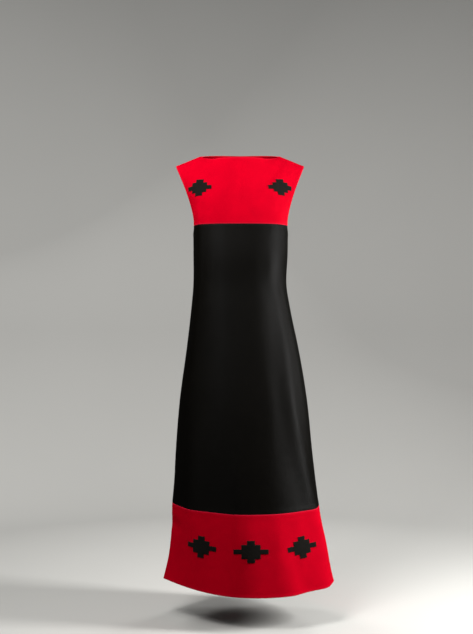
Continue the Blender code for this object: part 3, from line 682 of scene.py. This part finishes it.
def clothPanel(name, panel):
    # one cut piece: its face, rounded edges and an inner face one wall behind it
    surface, span, kinds = panel["surface"], panel["span"], panel["kinds"]
    flip, slitAt = panel.get("flip", False), panel.get("slitAt")
    rough = surface(*np.meshgrid(np.linspace(*span, 200), np.linspace(0, 1, 40), indexing="ij"))
    lengthP = lengthsAlong(rough, 0)[-1].mean()
    lengthQ = lengthsAlong(rough, 1)[:, -1].mean()
    bite = [cut["seamBite"] / lengthQ if kind == "seam" else 0.0 for kind in kinds[2:]]
    q = -bite[0] + (1 + sum(bite)) * edgeLines(lengthQ, grid) / lengthQ
    aside = [0.0, 0.0]
    if slitAt is not None:
        edge = surface(span[slitAt] + 0 * q, q)
        away = np.linalg.norm(edge - sliderPoint(), axis=-1)
        aside[slitAt] = slit["open"] * (1 - eased(away / slit["reach"]))
    p, fromCentre = acrossRows(surface, span, q, lengthP, edgeLines(lengthP, grid), panel["centre"], aside)
    q = q + 0 * p
    face = surface(p, q)
    out = outward(surface, p, q, flip)
    if panel.get("shoulder"):  # along the shoulder seam the edge stands square to it
        sewn = np.abs(p[:, -1]) >= yokeCut["neckShare"]
        out[sewn, -len(edges["near"]):] = unit(out[sewn, -len(edges["near"]):] * (1, 0, 1))
    alongP, alongQ = lengthsAlong(face, 0), lengthsAlong(face, 1)
    away = [alongP, alongP[-1:] - alongP, alongQ, alongQ[:, -1:] - alongQ]
    nearest = np.minimum.reduce(away)
    drop = roundedDrop(nearest, cut["wall"] / 2)
    swell = sum(map(edgeRelief, away, kinds, (alongQ, alongQ, alongP, alongP)))
    swell = swell * eased(nearest / edges["flush"])
    outer = face + out * (swell - drop)[..., None]
    inner = face - out * (cut["wall"] - drop)[..., None]
    keep = np.ones((len(p) - 1, p.shape[1] - 1), bool)
    uv = np.stack([fromCentre, alongQ], axis=-1)
    # painted highlight along the edges, weaker on upright seams, fading in from each edge
    plain = [edges["highlightUpright"] if kind == "seam" else 1.0 for kind in kinds[:2]] + [1.0, 1.0]
    edgeHighlight = np.maximum.reduce([share * np.exp(-far / edges["highlightReach"]) for share, far in zip(plain, away)])
    points, faces, uv, edgeHighlight = shellFromCells(outer, inner, keep, uv, edgeHighlight)
    if flip:
        faces = faces[:, ::-1]
    look, slot = looks[panel["look"]], slots[panel["look"]]
    piece = addPiece(name, points, faces, look, uv=uv, edgeHighlight=edgeHighlight, nodes=(panel["node"],))
    ends = np.cross(face[1:, 1:] - face[:-1, :-1], face[:-1, 1:] - face[1:, :-1])
    area = np.linalg.norm(ends, axis=-1).sum() / 2
    flat = (float(alongP[-1].max()), float(alongQ[:, -1].max()))
    print("cut", name, "%.3f x %.3f m, %.4f m2, %d faces" % (*flat, area, len(faces)))
    return piece, flat, float(area)


# The cut pieces. Kinds says of the first and last edge each way whether it is sewn or turned in.
quarterTurn = math.pi / 2
panels = {
    "yokeFront": {
        "node": "yoke_front", "surface": frontYoke, "span": (-1, 1), "centre": 0.0, "look": "red",
        "kinds": ("turned", "turned", "seam", "turned"), "shoulder": True, "rests": ("body_front",),
    },
    "yokeBackRight": {
        "node": "yoke_back_right", "surface": backYoke, "span": (0, 1), "centre": 0.0, "look": "red",
        "kinds": ("seam", "turned", "seam", "turned"), "shoulder": True, "flip": True, "slitAt": 0,
        "rests": ("body_back_right",),
    },
    "yokeBackLeft": {
        "node": "yoke_back_left", "surface": backYoke, "span": (-1, 0), "centre": 0.0, "look": "red",
        "kinds": ("turned", "seam", "seam", "turned"), "shoulder": True, "flip": True, "slitAt": 1,
        "rests": ("body_back_left",),
    },
    "bodyFront": {
        "node": "body_front", "surface": bodyCloth, "span": (-quarterTurn, quarterTurn), "centre": 0.0,
        "look": "black", "kinds": ("seam",) * 4, "rests": ("yoke_front",),
    },
    "bodyBackRight": {
        "node": "body_back_right", "surface": bodyCloth, "span": (quarterTurn, math.pi), "centre": math.pi,
        "look": "black", "kinds": ("seam",) * 4, "rests": ("yoke_back_right",),
    },
    "bodyBackLeft": {
        "node": "body_back_left", "surface": bodyCloth, "span": (math.pi, 3 * quarterTurn), "centre": math.pi,
        "look": "black", "kinds": ("seam",) * 4, "rests": ("yoke_back_left",),
    },
    "hemBandFront": {
        "node": "hem_band_front", "surface": bandCloth, "span": (-quarterTurn, quarterTurn), "centre": 0.0,
        "look": "red", "kinds": ("seam", "seam", "turned", "seam"), "rests": ("body_front",),
    },
    "hemBandBack": {
        "node": "hem_band_back", "surface": bandCloth, "span": (quarterTurn, 3 * quarterTurn),
        "centre": math.pi, "look": "red", "kinds": ("seam", "seam", "turned", "seam"),
        "rests": ("body_back_left", "body_back_right"),
    },
}
slots = {"red": "red_wool", "black": "black_wool"}
grid = 0.004  # metres between the panels' lines
cloths = {name: clothPanel(name, panel) for name, panel in panels.items()}


# Stepped diamonds: three crossed bars each, widest first, as (width, height) in metres.
diamonds = {
    "bandBars": ((0.109, 0.0145), (0.0595, 0.042), (0.024, 0.0675)),
    "yokeBars": ((0.084, 0.0135), (0.052, 0.033), (0.025, 0.055)),
    "thickness": 0.0012,
    "lift": 0.0004,  # above the face of the cloth
    "near": (0.0, 0.00015, 0.0004, 0.0008, 0.0014),
    "cell": 0.0022,
    "wander": 0.0005,  # the edges were cut and sewn by hand, so they waver by this much
    "puff": 0.0003,  # the felt swells up from its edges over the reach, and ripples a little
    "puffReach": 0.004,
    "ripple": 0.00012,
    # the painted sheen along the felt's edges fades in over this
    "highlightReach": 0.0009,
    # across, or on the band from its front centre along the cloth, then height and tilt in degrees
    "yoke": {"Left": (-0.1305, -0.109, 0.5), "Right": (0.1295, -0.108, -0.5)},
    "band": {
        "Left": (-0.158, -1.2485, -3.0), "Centre": (0.011, -1.2485, 0.5), "Right": (0.183, -1.2485, 4.0),
    },
}
stitching = {
    "apart": 0.0032,
    "thread": 0.00016,
    "outside": 0.0004,  # a stitch starts this far outside the felt's edge
    "reach": 0.0011,  # and ends this far inside it
    "uneven": 0.0002,
    "slant": 0.0007,
    "tuck": 0.0001,  # its ends are this far from the faces they go into
    "bow": 0.0009,
}


def findOnCloth(surface, origin, level, rise, a, b, p, q):
    # Newton's steps to where the cloth lies a along level and b along rise from an origin
    step = 1e-4
    for _ in range(7):
        here = surface(p, q) - origin
        byP = (surface(p + step, q) - surface(p - step, q)) / (2 * step)
        byQ = (surface(p, q + step) - surface(p, q - step)) / (2 * step)
        missA, missB = a - here @ level, b - here @ rise
        size = (byP @ level) * (byQ @ rise) - (byQ @ level) * (byP @ rise)
        p = p + (missA * (byQ @ rise) - missB * (byQ @ level)) / size
        q = q + (missB * (byP @ level) - missA * (byP @ rise)) / size
    return p, q


def diamondLines(sizes):
    # grid lines across a diamond: close beside each step's edge, then cells of even size
    edgesAt = sorted({sign * size / 2 for size in sizes for sign in (-1, 1)})
    near = np.array(diamonds["near"])
    lines = set()
    for at in edgesAt:
        lines.update(np.round(at + np.sign(-at) * near, 7).tolist())
        lines.update(np.round(at - np.sign(-at) * near, 7).tolist())
    lines = np.array(sorted(line for line in lines if edgesAt[0] <= line <= edgesAt[-1]))
    wide = np.diff(lines) > diamonds["cell"] * 1.5
    extra = [
        np.linspace(start, end, int((end - start) / diamonds["cell"]) + 2)[1:-1]
        for start, end in zip(lines[:-1][wide], lines[1:][wide])
    ]
    return np.sort(np.concatenate([lines, *extra]))


def wander(a, b, seed):  # a waver of both coordinates, by sines that turn once in 12 to 33 mm
    x = np.sin(a * 190 + seed) + 0.6 * np.sin(b * 260 + 2 * seed) + 0.4 * np.sin((a + b) * 520 + seed)
    y = np.sin(b * 210 + 3 * seed) + 0.6 * np.sin(a * 240 + seed) + 0.4 * np.sin((a - b) * 480)
    return diamonds["wander"] * x / 2, diamonds["wander"] * y / 2


def insideDiamond(bars, a, b):  # distance in from the outline of the crossed bars
    inner = [np.minimum(width / 2 - np.abs(a), height / 2 - np.abs(b)) for width, height in bars]
    return np.maximum.reduce(inner)


def clothPlace(surface, x, z, tilt, firstP, firstQ):
    # a frame on the cloth: its point, level and rising directions turned by the tilt, and its parameters
    out = outward(surface, firstP, firstQ)
    level = unit(np.cross([0.0, 0.0, 1.0], out))
    rise = np.cross(out, level)
    turn = math.radians(tilt)
    return (
        surface(firstP, firstQ),
        level * math.cos(turn) + rise * math.sin(turn),
        rise * math.cos(turn) - level * math.sin(turn),
    )


def outlinePath(bars):  # corners of the stepped outline, round from the right tip
    (w1, h1), (w2, h2), (w3, h3) = [(width / 2, height / 2) for width, height in bars]
    quarter = [(w1, h1), (w2, h1), (w2, h2), (w3, h2), (w3, h3)]
    upper = quarter + [(-a, b) for a, b in reversed(quarter)]
    return np.array(upper + [(-a, -b) for a, b in upper])


def addDiamond(name, node, surface, bars, place, start, seed):
    origin, level, rise = place
    aLines = diamondLines([width for width, _ in bars])
    bLines = diamondLines([height for _, height in bars])
    a, b = np.meshgrid(aLines, bLines, indexing="ij")
    shiftA, shiftB = wander(a, b, seed)
    firstP, firstQ = (value + 0 * a for value in start)
    p, q = findOnCloth(surface, origin, level, rise, a + shiftA, b + shiftB, firstP, firstQ)
    ground, out = surface(p, q), outward(surface, p, q)
    middleA, middleB = (aLines[:-1] + aLines[1:]) / 2, (bLines[:-1] + bLines[1:]) / 2
    keep = insideDiamond(bars, middleA[:, None], middleB[None, :]) > 0
    half = diamonds["thickness"] / 2
    away = np.clip(insideDiamond(bars, a, b), 0, 1)
    drop = roundedDrop(away, half)
    puff = diamonds["puff"] * eased(away / diamonds["puffReach"])
    puff = puff + diamonds["ripple"] * np.sin(a * 330 + seed) * np.sin(b * 410)
    low = diamonds["lift"] + 0 * a
    outer = ground + out * (low + 2 * half - drop + puff * eased(away / half))[..., None]
    inner = ground + out * (low + drop)[..., None]
    # painted sheen along the felt's edges
    edgeHighlight = np.exp(-away / diamonds["highlightReach"])
    uv = np.stack([a, b], axis=-1)
    points, faces, uv, edgeHighlight = shellFromCells(outer, inner, keep, uv, edgeHighlight)
    piece = addPiece(name, points, faces, looks["felt"], uv=uv, edgeHighlight=edgeHighlight, nodes=(node,))
    stitches = addStitches(name + "Stitches", surface, bars, place, start, seed)
    print("sewn on", name, "%d faces" % len(faces))
    return piece, stitches


def threadArcs(starts, ends, normals, lift, radius, rings=6, sides=6):
    # round threads, each bowed from one point to the other, as one array of rings
    k = np.linspace(0, 1, rings)
    bow = np.sin(math.pi * k) ** 0.7
    middle = starts[:, None] * (1 - k)[:, None] + ends[:, None] * k[:, None]
    middle = middle + normals[:, None] * (lift * bow)[:, None]
    along = unit(np.gradient(middle, axis=1))
    across = unit(np.cross(along, normals[:, None]))
    upright = np.cross(across, along)
    turn = np.linspace(0, 2 * math.pi, sides, endpoint=False)
    thin = radius * (0.35 + 0.65 * np.sin(math.pi * np.clip(k, 0.12, 0.88)) ** 0.4)
    points = middle[:, :, None] + thin[:, None, None] * (
        across[:, :, None] * np.cos(turn)[:, None] + upright[:, :, None] * np.sin(turn)[:, None]
    )
    count = len(starts)
    index = np.arange(count * rings * sides).reshape(count, rings, sides)
    after = np.roll(index, -1, axis=2)
    quads = np.stack([index[:, :-1], after[:, :-1], after[:, 1:], index[:, 1:]], axis=-1).reshape(-1, 4)
    caps = np.concatenate([index[:, 0, ::-1], index[:, -1]])
    return points.reshape(-1, 3), quads.tolist() + caps.tolist()


def addStitches(name, surface, bars, place, start, seed):
    # slanted whip stitches over the raw edge, all round the outline and a little uneven
    origin, level, rise = place
    corners = outlinePath(bars)
    closed = np.concatenate([corners, corners[:1]])
    lengths = np.concatenate([[0], np.cumsum(np.linalg.norm(np.diff(closed, axis=0), axis=1))])
    count = int(lengths[-1] / stitching["apart"])
    at = (np.arange(count) + 0.5 + 0.16 * np.sin(np.arange(count) * 2.4 + seed)) * lengths[-1] / count
    edgeA, edgeB = np.interp(at, lengths, closed[:, 0]), np.interp(at, lengths, closed[:, 1])
    nextA, nextB = np.interp(at + 1e-4, lengths, closed[:, 0]), np.interp(at + 1e-4, lengths, closed[:, 1])
    along = unit(np.stack([nextA - edgeA, nextB - edgeB], axis=-1))
    inward = np.stack([-along[:, 1], along[:, 0]], axis=-1)
    reach = stitching["reach"] + stitching["uneven"] * np.sin(np.arange(count) * 1.7 + 2 * seed)
    outside, tuck = stitching["outside"], stitching["tuck"]
    outPoint = np.stack([edgeA, edgeB], axis=-1) - inward * outside
    inPoint = outPoint + inward * (outside + reach)[:, None] + along * stitching["slant"]
    top = diamonds["lift"] + diamonds["thickness"]
    both = []
    for spots, height in ((outPoint, tuck), (inPoint, top - tuck)):
        shiftA, shiftB = wander(spots[:, 0], spots[:, 1], seed)
        a, b = spots[:, 0] + shiftA, spots[:, 1] + shiftB
        p, q = findOnCloth(surface, origin, level, rise, a, b, start[0] + 0 * a, start[1] + 0 * a)
        out = outward(surface, p, q)
        both.append(surface(p, q) + out * height)
    points, faces = threadArcs(both[0], both[1], out, stitching["bow"], stitching["thread"])
    return addPiece(name, points, faces, looks["thread"])


def bandAngle(height, distance):  # angle where the band's cloth is this far from its front centre
    angles = np.linspace(0, math.radians(80) * np.sign(distance), 400)
    lengths = lengthsAlong(skirt(angles, height)[:, None], 0)[:, 0]
    return float(np.interp(abs(distance), lengths, angles))


sideways, upright = np.array([1.0, 0, 0]), np.array([0, 0, 1.0])
for seed, (side, (x, z, tilt)) in enumerate(diamonds["yoke"].items()):
    first = np.array(math.copysign(0.8, x)), np.array(0.5)
    start = findOnCloth(frontYoke, np.zeros(3), sideways, upright, x, z, *first)
    place = clothPlace(frontYoke, x, z, tilt, *start)
    node = "diamond_yoke_" + side.lower()
    addDiamond(
        "yokeDiamond" + side, node, frontYoke, diamonds["yokeBars"], place, start, seed + 1.3
    )
for seed, (side, (along, z, tilt)) in enumerate(diamonds["band"].items()):
    start = (np.array(bandAngle(z, along)), np.array((z - cut["hem"]) / (cut["bandSeam"] - cut["hem"])))
    place = clothPlace(bandCloth, along, z, tilt, *start)
    node = "diamond_band_" + side.lower()
    addDiamond(
        "bandDiamond" + side, node, bandCloth, diamonds["bandBars"], place, start, seed + 4.1
    )

# Each piece's printed size is the net size of its cut, without allowances.
print("cloth declared")


# The zip at the centre back
zipSizes = {
    "end": -0.4555,  # the tapes' lower end
    "below": 0.012,  # and their upper one, down from the neck edge
    "step": 0.004,
    "tapeNear": 0.0017,  # from the centre to the tape's edge
    # from that edge to the other: the distance, and the tape's thickness there as a share of its wall
    "tape": (
        (0.0, 0.0), (0.0002, 1.1), (0.0007, 1.5), (0.0013, 1.1), (0.0020, 0.8), (0.0063, 0.8),
        (0.0103, 0.8), (0.0141, 0.8), (0.0145, 0.0),
    ),
    "tapeWall": 0.0008,
    "bend": 1.6,  # the cloth curves away from the centre line by this times the distance squared
    "depth": 0.0025,  # of the tape's face, under the cloth's
    "teethEnd": 0.006,  # above the tapes' end
    "teethBelow": 0.020,  # below the neck edge
    "toothPitch": 0.0019,
    "tooth": (0.0022, 0.0013, 0.0009),  # across, through, along
    "toothAside": 0.36,  # from the centre line, as a share of its width
}


def centreBack(start, below, step):
    # points, outward and upward directions on the centre back line, at even steps up along it, from a
    # height to a distance below the neck edge
    ups = np.linspace(0, 1, 600)
    line = np.concatenate([bodyCloth(math.pi + 0 * ups, ups), backYoke(0 * ups, ups)[1:]])
    lengths = lengthsAlong(line[:, None], 0)[:, 0]
    first = np.interp(start, line[:600, 2], lengths[:600])
    at = np.arange(first, lengths[-1] - below, step)
    points = np.stack([np.interp(at, lengths, line[:, n]) for n in range(3)], axis=-1)
    up = unit(np.gradient(points, axis=0) * (0, 1, 1))
    out = np.stack([0 * at, up[:, 2], -up[:, 1]], axis=-1)
    return points, out, up


def addTape(name, node, side):
    # a flat woven strip beside the teeth, with a corded edge
    points, out, _ = tapeLine
    half = zipSizes["tapeWall"] / 2
    reach, thick = np.array(zipSizes["tape"]).T * np.array([[1], [half]])
    reach = reach + zipSizes["tapeNear"]
    middle = points[:, None] + side * reach[:, None] * sideways
    middle = middle - out[:, None] * (zipSizes["depth"] + half + zipSizes["bend"] * reach**2)[:, None]
    outer, inner = middle + out[:, None] * thick[:, None], middle - out[:, None] * thick[:, None]
    outer[[0, -1]] = inner[[0, -1]] = middle[[0, -1]]
    climbed = zipSizes["step"] * np.arange(len(points))[:, None]
    uv = np.stack(np.broadcast_arrays(reach[None], climbed), axis=-1)
    keep = np.ones((len(points) - 1, len(reach) - 1), bool)
    vertices, faces, uv, _ = shellFromCells(outer, inner, keep, uv, np.zeros(outer.shape[:2]))
    if side > 0:
        faces = faces[:, ::-1]
    return addPiece(name, vertices, faces, looks["tape"], uv=uv, nodes=(node,))


def blocks(centres, across, through, along, size, bevel=0.3):
    # bevelled blocks as one mesh: each is a box whose two end faces are drawn in
    w, t, l = (s / 2 for s in size)
    shape = []
    for height, share in ((-1, 1 - bevel), (-1 + bevel, 1), (1 - bevel, 1), (1, 1 - bevel)):
        corners = ((-w, -t), (w, -t), (w, t), (-w, t))
        shape += [(x * share, y * share, l * height) for x, y in corners]
    axes = zip(np.array(shape).T, (across, through, along))
    points = centres[:, None] + sum(part[:, None] * axis[:, None] for part, axis in axes)
    ring = np.array([[0, 1, 5, 4], [1, 2, 6, 5], [2, 3, 7, 6], [3, 0, 4, 7]])
    faces = np.concatenate([ring, ring + 4, ring + 8, [[3, 2, 1, 0]], [[12, 13, 14, 15]]])
    faces = faces[None] + 16 * np.arange(len(centres))[:, None, None]
    return points.reshape(-1, 3), faces.reshape(-1, 4)


def addTeeth():
    # teeth from both tapes, meshing at the centre
    start, pitch = zipSizes["end"] + zipSizes["teethEnd"], zipSizes["toothPitch"]
    points, out, up = centreBack(start, zipSizes["teethBelow"], pitch / 2)
    side = np.where(np.arange(len(points)) % 2, 1.0, -1.0)[:, None]
    across = side * sideways + 0 * points
    # over the slider the two rows part, as far as the slit does
    away = points - sliderPoint()
    parted = slit["open"] * (1 - eased(np.linalg.norm(away, axis=-1) / slit["reach"])) * (away[:, 2] > 0)
    centres = points + across * (zipSizes["tooth"][0] * zipSizes["toothAside"] + parted)[:, None]
    centres = centres - out * (zipSizes["depth"] + zipSizes["tapeWall"] / 2)
    corner, faces = blocks(centres, across * side, out, up, zipSizes["tooth"])
    return addPiece("zipTeeth", corner, faces[:, ::-1], looks["metal"])


tapeLine = centreBack(zipSizes["end"], zipSizes["below"], zipSizes["step"])
tapes = [addTape("zipTapeRight", "zip_tape_right", 1), addTape("zipTapeLeft", "zip_tape_left", -1)]
addTeeth()

# The slider, its bail and the pull tab, in the zip's own frame: across, out of the cloth, up
slider = {
    "body": {"size": (0.0070, 0.0018, 0.009), "out": -0.0032, "bevel": 0.0006, "square": 5.0, "taper": 0.16},
    "web": {"size": (0.0014, 0.0032, 0.0072), "out": -0.0010, "bevel": 0.0003, "square": 6.0, "taper": 0.0},
    "plate": {"size": (0.0044, 0.0011, 0.009), "out": 0.00085, "bevel": 0.0004, "square": 3.2, "taper": 0.22},
}
bail = {"half": 0.003375, "out": (0.0010, 0.00415), "square": 4.5, "wire": (0.0008, 0.00045)}
pull = {
    "axis": (0.0023, -0.002125),  # of its hinge, out of the cloth and up; heights below are from it
    "width": 0.0056,
    "head": 0.0005,
    "tip": -0.0235,
    "square": (4.0, 5.0),  # across and up
    "slotWidth": 0.0026,
    "slot": (-0.0079, -0.0005),
    "slotSquare": (3.5, 5.0),
    "half": 0.0005,  # of its thickness
    "neck": 0.86,  # its width from the slot up, as a share of its full width, which it reaches in the fade
    "neckFade": 0.003,
    "near": (0.0, 0.00003, 0.0001, 0.0002, 0.00032, 0.00045),  # lines beside an edge, from it
    "dish": 0.00012,  # sunk into both faces below the slot, inside a rim
    "rim": 0.0007,
    "rimFade": 0.0006,
    "dishBelow": 0.002,
}


def zipFrame():  # the slider's point on the cloth, and its outward and upward directions
    point = sliderPoint()
    line, out, up = centreBack(slit["lookFrom"], zipSizes["below"], slit["lookStep"])
    nearest = np.argmin(np.linalg.norm(line - point, axis=-1))
    return point, out[nearest], up[nearest]


def inZipFrame(points, place):
    point, out, up = place
    return point + points[..., :1] * sideways + points[..., 1:2] * out + points[..., 2:] * up


def ringFaces(rings, around, first=0, capped=True):  # quads between closed rings, and a face over each end
    index = first + np.arange(rings * around).reshape(rings, around)
    after = np.roll(index, -1, axis=1)
    faces = np.stack([index[:-1], after[:-1], after[1:], index[1:]], axis=-1).reshape(-1, 4).tolist()
    return faces + [index[0, ::-1].tolist(), index[-1].tolist()] if capped else faces


def squarer(turn, square, wave):  # cosine or sine drawn out towards a square corner, round where square is 2
    value = wave(turn)
    return np.sign(value) * np.abs(value) ** (2 / square)


def roundedPlate(size, out, bevel, square, taper, around=48, steps=5):
    # stacked superellipses: a quarter circle in from the flat face at each end, tapered along its length
    turn = np.linspace(0, 2 * math.pi, around, endpoint=False)
    corner = np.linspace(0, math.pi / 2, steps)
    inset = bevel * (1 - np.sin(corner))
    level = size[1] / 2 - bevel * (1 - np.cos(corner))
    inset = np.concatenate([inset, inset[::-1]])[:, None]
    level = np.concatenate([level, -level[::-1]])[:, None]
    z = (size[2] / 2 - inset) * squarer(turn, square, np.sin)
    x = (size[0] / 2 - inset) * squarer(turn, square, np.cos) * (1 + taper * z / size[2])
    return np.stack([x, out + level + 0 * x, z], axis=-1)


def bailWire(bends=40, around=16):
    # an oval wire bent over the slider as half a superellipse
    turn = np.linspace(0, math.pi, bends)
    low, high = bail["out"]
    path = np.stack([
        0 * turn,
        low + (high - low) * squarer(turn, bail["square"], np.sin),
        bail["half"] * squarer(turn, bail["square"], np.cos),
    ], axis=-1)
    along = unit(np.gradient(path, axis=0))
    aside = np.cross(along, sideways)
    circle = np.linspace(0, 2 * math.pi, around, endpoint=False)[:, None]
    wide, thick = bail["wire"]
    return path[:, None] + wide * np.cos(circle) * sideways + thick * np.sin(circle) * aside[:, None]


def addSlider(place):
    # body under the cloth with the teeth inside it, web through the slit, face plate and bail
    points, faces, first = [], [], 0
    for rings in [roundedPlate(**part) for part in slider.values()] + [bailWire()]:
        points.append(rings.reshape(-1, 3))
        faces += ringFaces(*rings.shape[:2], first)
        first += len(points[-1])
    made = inZipFrame(np.concatenate(points), place)
    return addPiece("zipSlider", made, faces, looks["metal"], nodes=("zip_slider",))


def addPull(place, around=96, between=9):
    # a flat ring blended from the slot's outline to the tab's, its edges rounded, its lower half dished
    half = pull["half"]
    turn = np.linspace(0, 2 * math.pi, around, endpoint=False)
    slotLow, slotTop = pull["slot"]
    middle = (slotLow + slotTop) / 2
    across, along = pull["slotSquare"]
    inner = np.stack([
        pull["slotWidth"] / 2 * squarer(turn, across, np.cos),
        middle + (slotTop - slotLow) / 2 * squarer(turn, along, np.sin),
    ], axis=-1)
    across, along = pull["square"]
    up, down = pull["head"] - middle, middle - pull["tip"]
    rise = squarer(turn, along, np.sin)
    outerZ = middle + np.where(rise > 0, up, down) * rise
    neck = pull["neck"] + (1 - pull["neck"]) * eased((slotLow - outerZ) / pull["neckFade"])
    outer = np.stack([pull["width"] / 2 * squarer(turn, across, np.cos) * neck, outerZ], axis=-1)
    width = np.linalg.norm(outer - inner, axis=-1)
    near = np.array(pull["near"])
    spread = np.linspace(0, 1, between)[1:-1, None] * (width - 2 * near[-1])
    away = np.concatenate([near[:, None] + 0 * width, near[-1] + spread, width - near[::-1, None]])
    share = away / width
    flat = inner * (1 - share[..., None]) + outer * share[..., None]
    edge = np.minimum(away, width - away)
    inRim = eased((edge - pull["rim"]) / pull["rimFade"])
    inDish = inRim * eased((slotLow - flat[..., 1]) / pull["dishBelow"] - 1)
    level = half - roundedDrop(edge, half) - pull["dish"] * inDish
    axisOut, axisUp = pull["axis"]
    front = np.stack([flat[..., 0], axisOut + level, axisUp + flat[..., 1]], axis=-1)
    back = np.stack([flat[..., 0], axisOut - level, axisUp + flat[..., 1]], axis=-1)
    loops = np.concatenate([front, back[-2:0:-1]])
    index = np.arange(loops[..., 0].size).reshape(loops.shape[:2])
    after, beyond = np.roll(index, -1, axis=0), np.roll(index, -1, axis=1)
    faces = np.stack([index, after, np.roll(after, -1, axis=1), beyond], axis=-1).reshape(-1, 4)
    made = inZipFrame(loops.reshape(-1, 3), place)
    return addPiece(
        "zipPull", made, faces, looks["metal"], body="pull", nodes=("zip_pull",)
    )


zipPlace = zipFrame()
addSlider(zipPlace)
addPull(zipPlace)
print("slider and pull made")

# Floor and backdrop in one round sweep, plain and pale. It is clear from outside, so any side can be viewed.
stage = {
    "floor": -1.4965,
    "rings": (0.3, 1.0),  # radii of the floor's rings inside its edge
    "flat": 1.7,
    "bend": 0.9,
    "height": 3.6,
    "around": 96,
    "bendSteps": 16,
    "tone": "d2d1cc",
    "mottle": 0.95,
}


def addStage():
    # a profile turned about the upright axis: level floor, quarter circle, wall
    turn = np.linspace(0, quarterTurn, stage["bendSteps"])
    edge, bend = stage["flat"], stage["bend"]
    radius = np.concatenate([stage["rings"], edge + bend * np.sin(turn), [edge + bend]])
    height = stage["floor"] + np.concatenate([[0, 0], bend * (1 - np.cos(turn)), [stage["height"]]])
    around = np.linspace(0, 2 * math.pi, stage["around"], endpoint=False)
    points = np.stack(np.broadcast_arrays(
        radius * np.cos(around)[:, None], radius * np.sin(around)[:, None], height
    ), axis=-1)
    index = np.arange(points[..., 0].size).reshape(points.shape[:2])
    after = np.roll(index, -1, axis=0)
    faces = np.stack([index[:, :-1], index[:, 1:], after[:, 1:], after[:, :-1]], axis=-1).reshape(-1, 4)
    mesh = bpy.data.meshes.new("sweep")
    mesh.from_pydata(points.reshape(-1, 3).tolist(), [], faces.tolist() + [index[:, 0].tolist()])
    mesh.shade_smooth()
    material, tree, shader = newMaterial("paintedSweep", {"Roughness": 0.8, "Specular IOR Level": 0.1})
    place = addNode(tree, "ShaderNodeTexCoord")
    mottle = addNode(tree, "ShaderNodeTexNoise", {"Scale": 1.6, "Detail": 3.0}, {"Vector": (place, "Object")})
    tone = linear(stage["tone"])
    darker = tuple(stage["mottle"] * part for part in tone[:3]) + (1.0,)
    colour = addNode(tree, "ShaderNodeMix", {"data_type": "RGBA", 6: tone, 7: darker}, {0: (mottle, "Fac")})
    tree.links.new(colour.outputs[2], shader.inputs["Base Color"])
    side = addNode(tree, "ShaderNodeNewGeometry")
    clear = addNode(tree, "ShaderNodeBsdfTransparent")
    mixed = addNode(tree, "ShaderNodeMixShader", None, {
        0: (side, "Backfacing"), 1: (shader, 0), 2: (clear, 0),
    })
    output = next(node for node in tree.nodes if node.type == "OUTPUT_MATERIAL")
    tree.links.new(mixed.outputs[0], output.inputs["Surface"])
    mesh.materials.append(material)
    sweep = bpy.data.objects.new("sweep", mesh)
    sweep.visible_diffuse = sweep.visible_glossy = False  # it throws no light back on the dress
    bpy.context.scene.collection.objects.link(sweep)


addStage()

# Soft studio light: lamps at the upper left that fade down the dress, a tall one at its right side, and two
# behind it.
lights = {
    "upperLeft": {"at": (-0.7, -1.2, 0.8), "aim": (0.0, 0.0, -0.25), "size": (0.6, 0.6), "watts": 21.5},
    "chest": {"at": (-0.35, -0.6, 0.75), "aim": (0.0, 0.0, -0.25), "size": (0.45, 0.45), "watts": 5.5},
    "farLeft": {"at": (-1.15, -1.25, 0.7), "aim": (0.0, 0.0, -0.25), "size": (0.6, 0.6), "watts": 11},
    "lowLeft": {"at": (-1.5, -1.1, -0.9), "aim": (0.0, 0.0, -1.1), "size": (0.4, 0.9), "watts": 3},
    "rightSide": {"at": (1.8, -0.38, -0.28), "aim": (0.1, 0.0, -0.58), "size": (0.35, 0.9), "watts": 59},
    "backLeft": {"at": (1.25, 1.7, 0.2), "aim": (0.0, 0.0, -0.6), "size": (0.6, 1.0), "watts": 17},
    "backRight": {"at": (-1.3, 1.7, 0.6), "aim": (0.0, 0.0, -0.6), "size": (0.8, 0.8), "watts": 17},
}
room = {"colour": (0.9, 0.93, 1.0, 1.0), "strength": 0.02}


def lookAt(thing, at, aim):
    thing.location = at
    thing.rotation_euler = (Vector(aim) - Vector(at)).to_track_quat("-Z", "Y").to_euler()


for name, values in lights.items():
    data = bpy.data.lights.new(name, "AREA")
    data.shape, data.energy = "RECTANGLE", values["watts"]
    data.size, data.size_y = values["size"]
    lamp = bpy.data.objects.new(name, data)
    lamp.visible_camera = False
    lamp.visible_glossy = not name.startswith("back")  # or they would gleam along the sides
    lookAt(lamp, values["at"], values["aim"])
    bpy.context.scene.collection.objects.link(lamp)
world = bpy.data.worlds.new("room")
world.use_nodes = True
world.node_tree.nodes["Background"].inputs["Color"].default_value = room["colour"]
world.node_tree.nodes["Background"].inputs["Strength"].default_value = room["strength"]
bpy.context.scene.world = world
bpy.context.scene.view_settings.view_transform = "Standard"

# The photo's view: level, from 3.4 m in front of the shoulders and 52 cm below them
camera = {"at": (-0.0114, -3.4, -0.5225), "lens": 59.05}
data = bpy.data.cameras.new("camera")
data.lens = camera["lens"]
viewer = bpy.data.objects.new("camera", data)
viewer.location = camera["at"]
viewer.rotation_euler = (math.radians(90), 0, 0)
bpy.context.scene.collection.objects.link(viewer)
bpy.context.scene.camera = viewer
print("stage, lights and camera set")
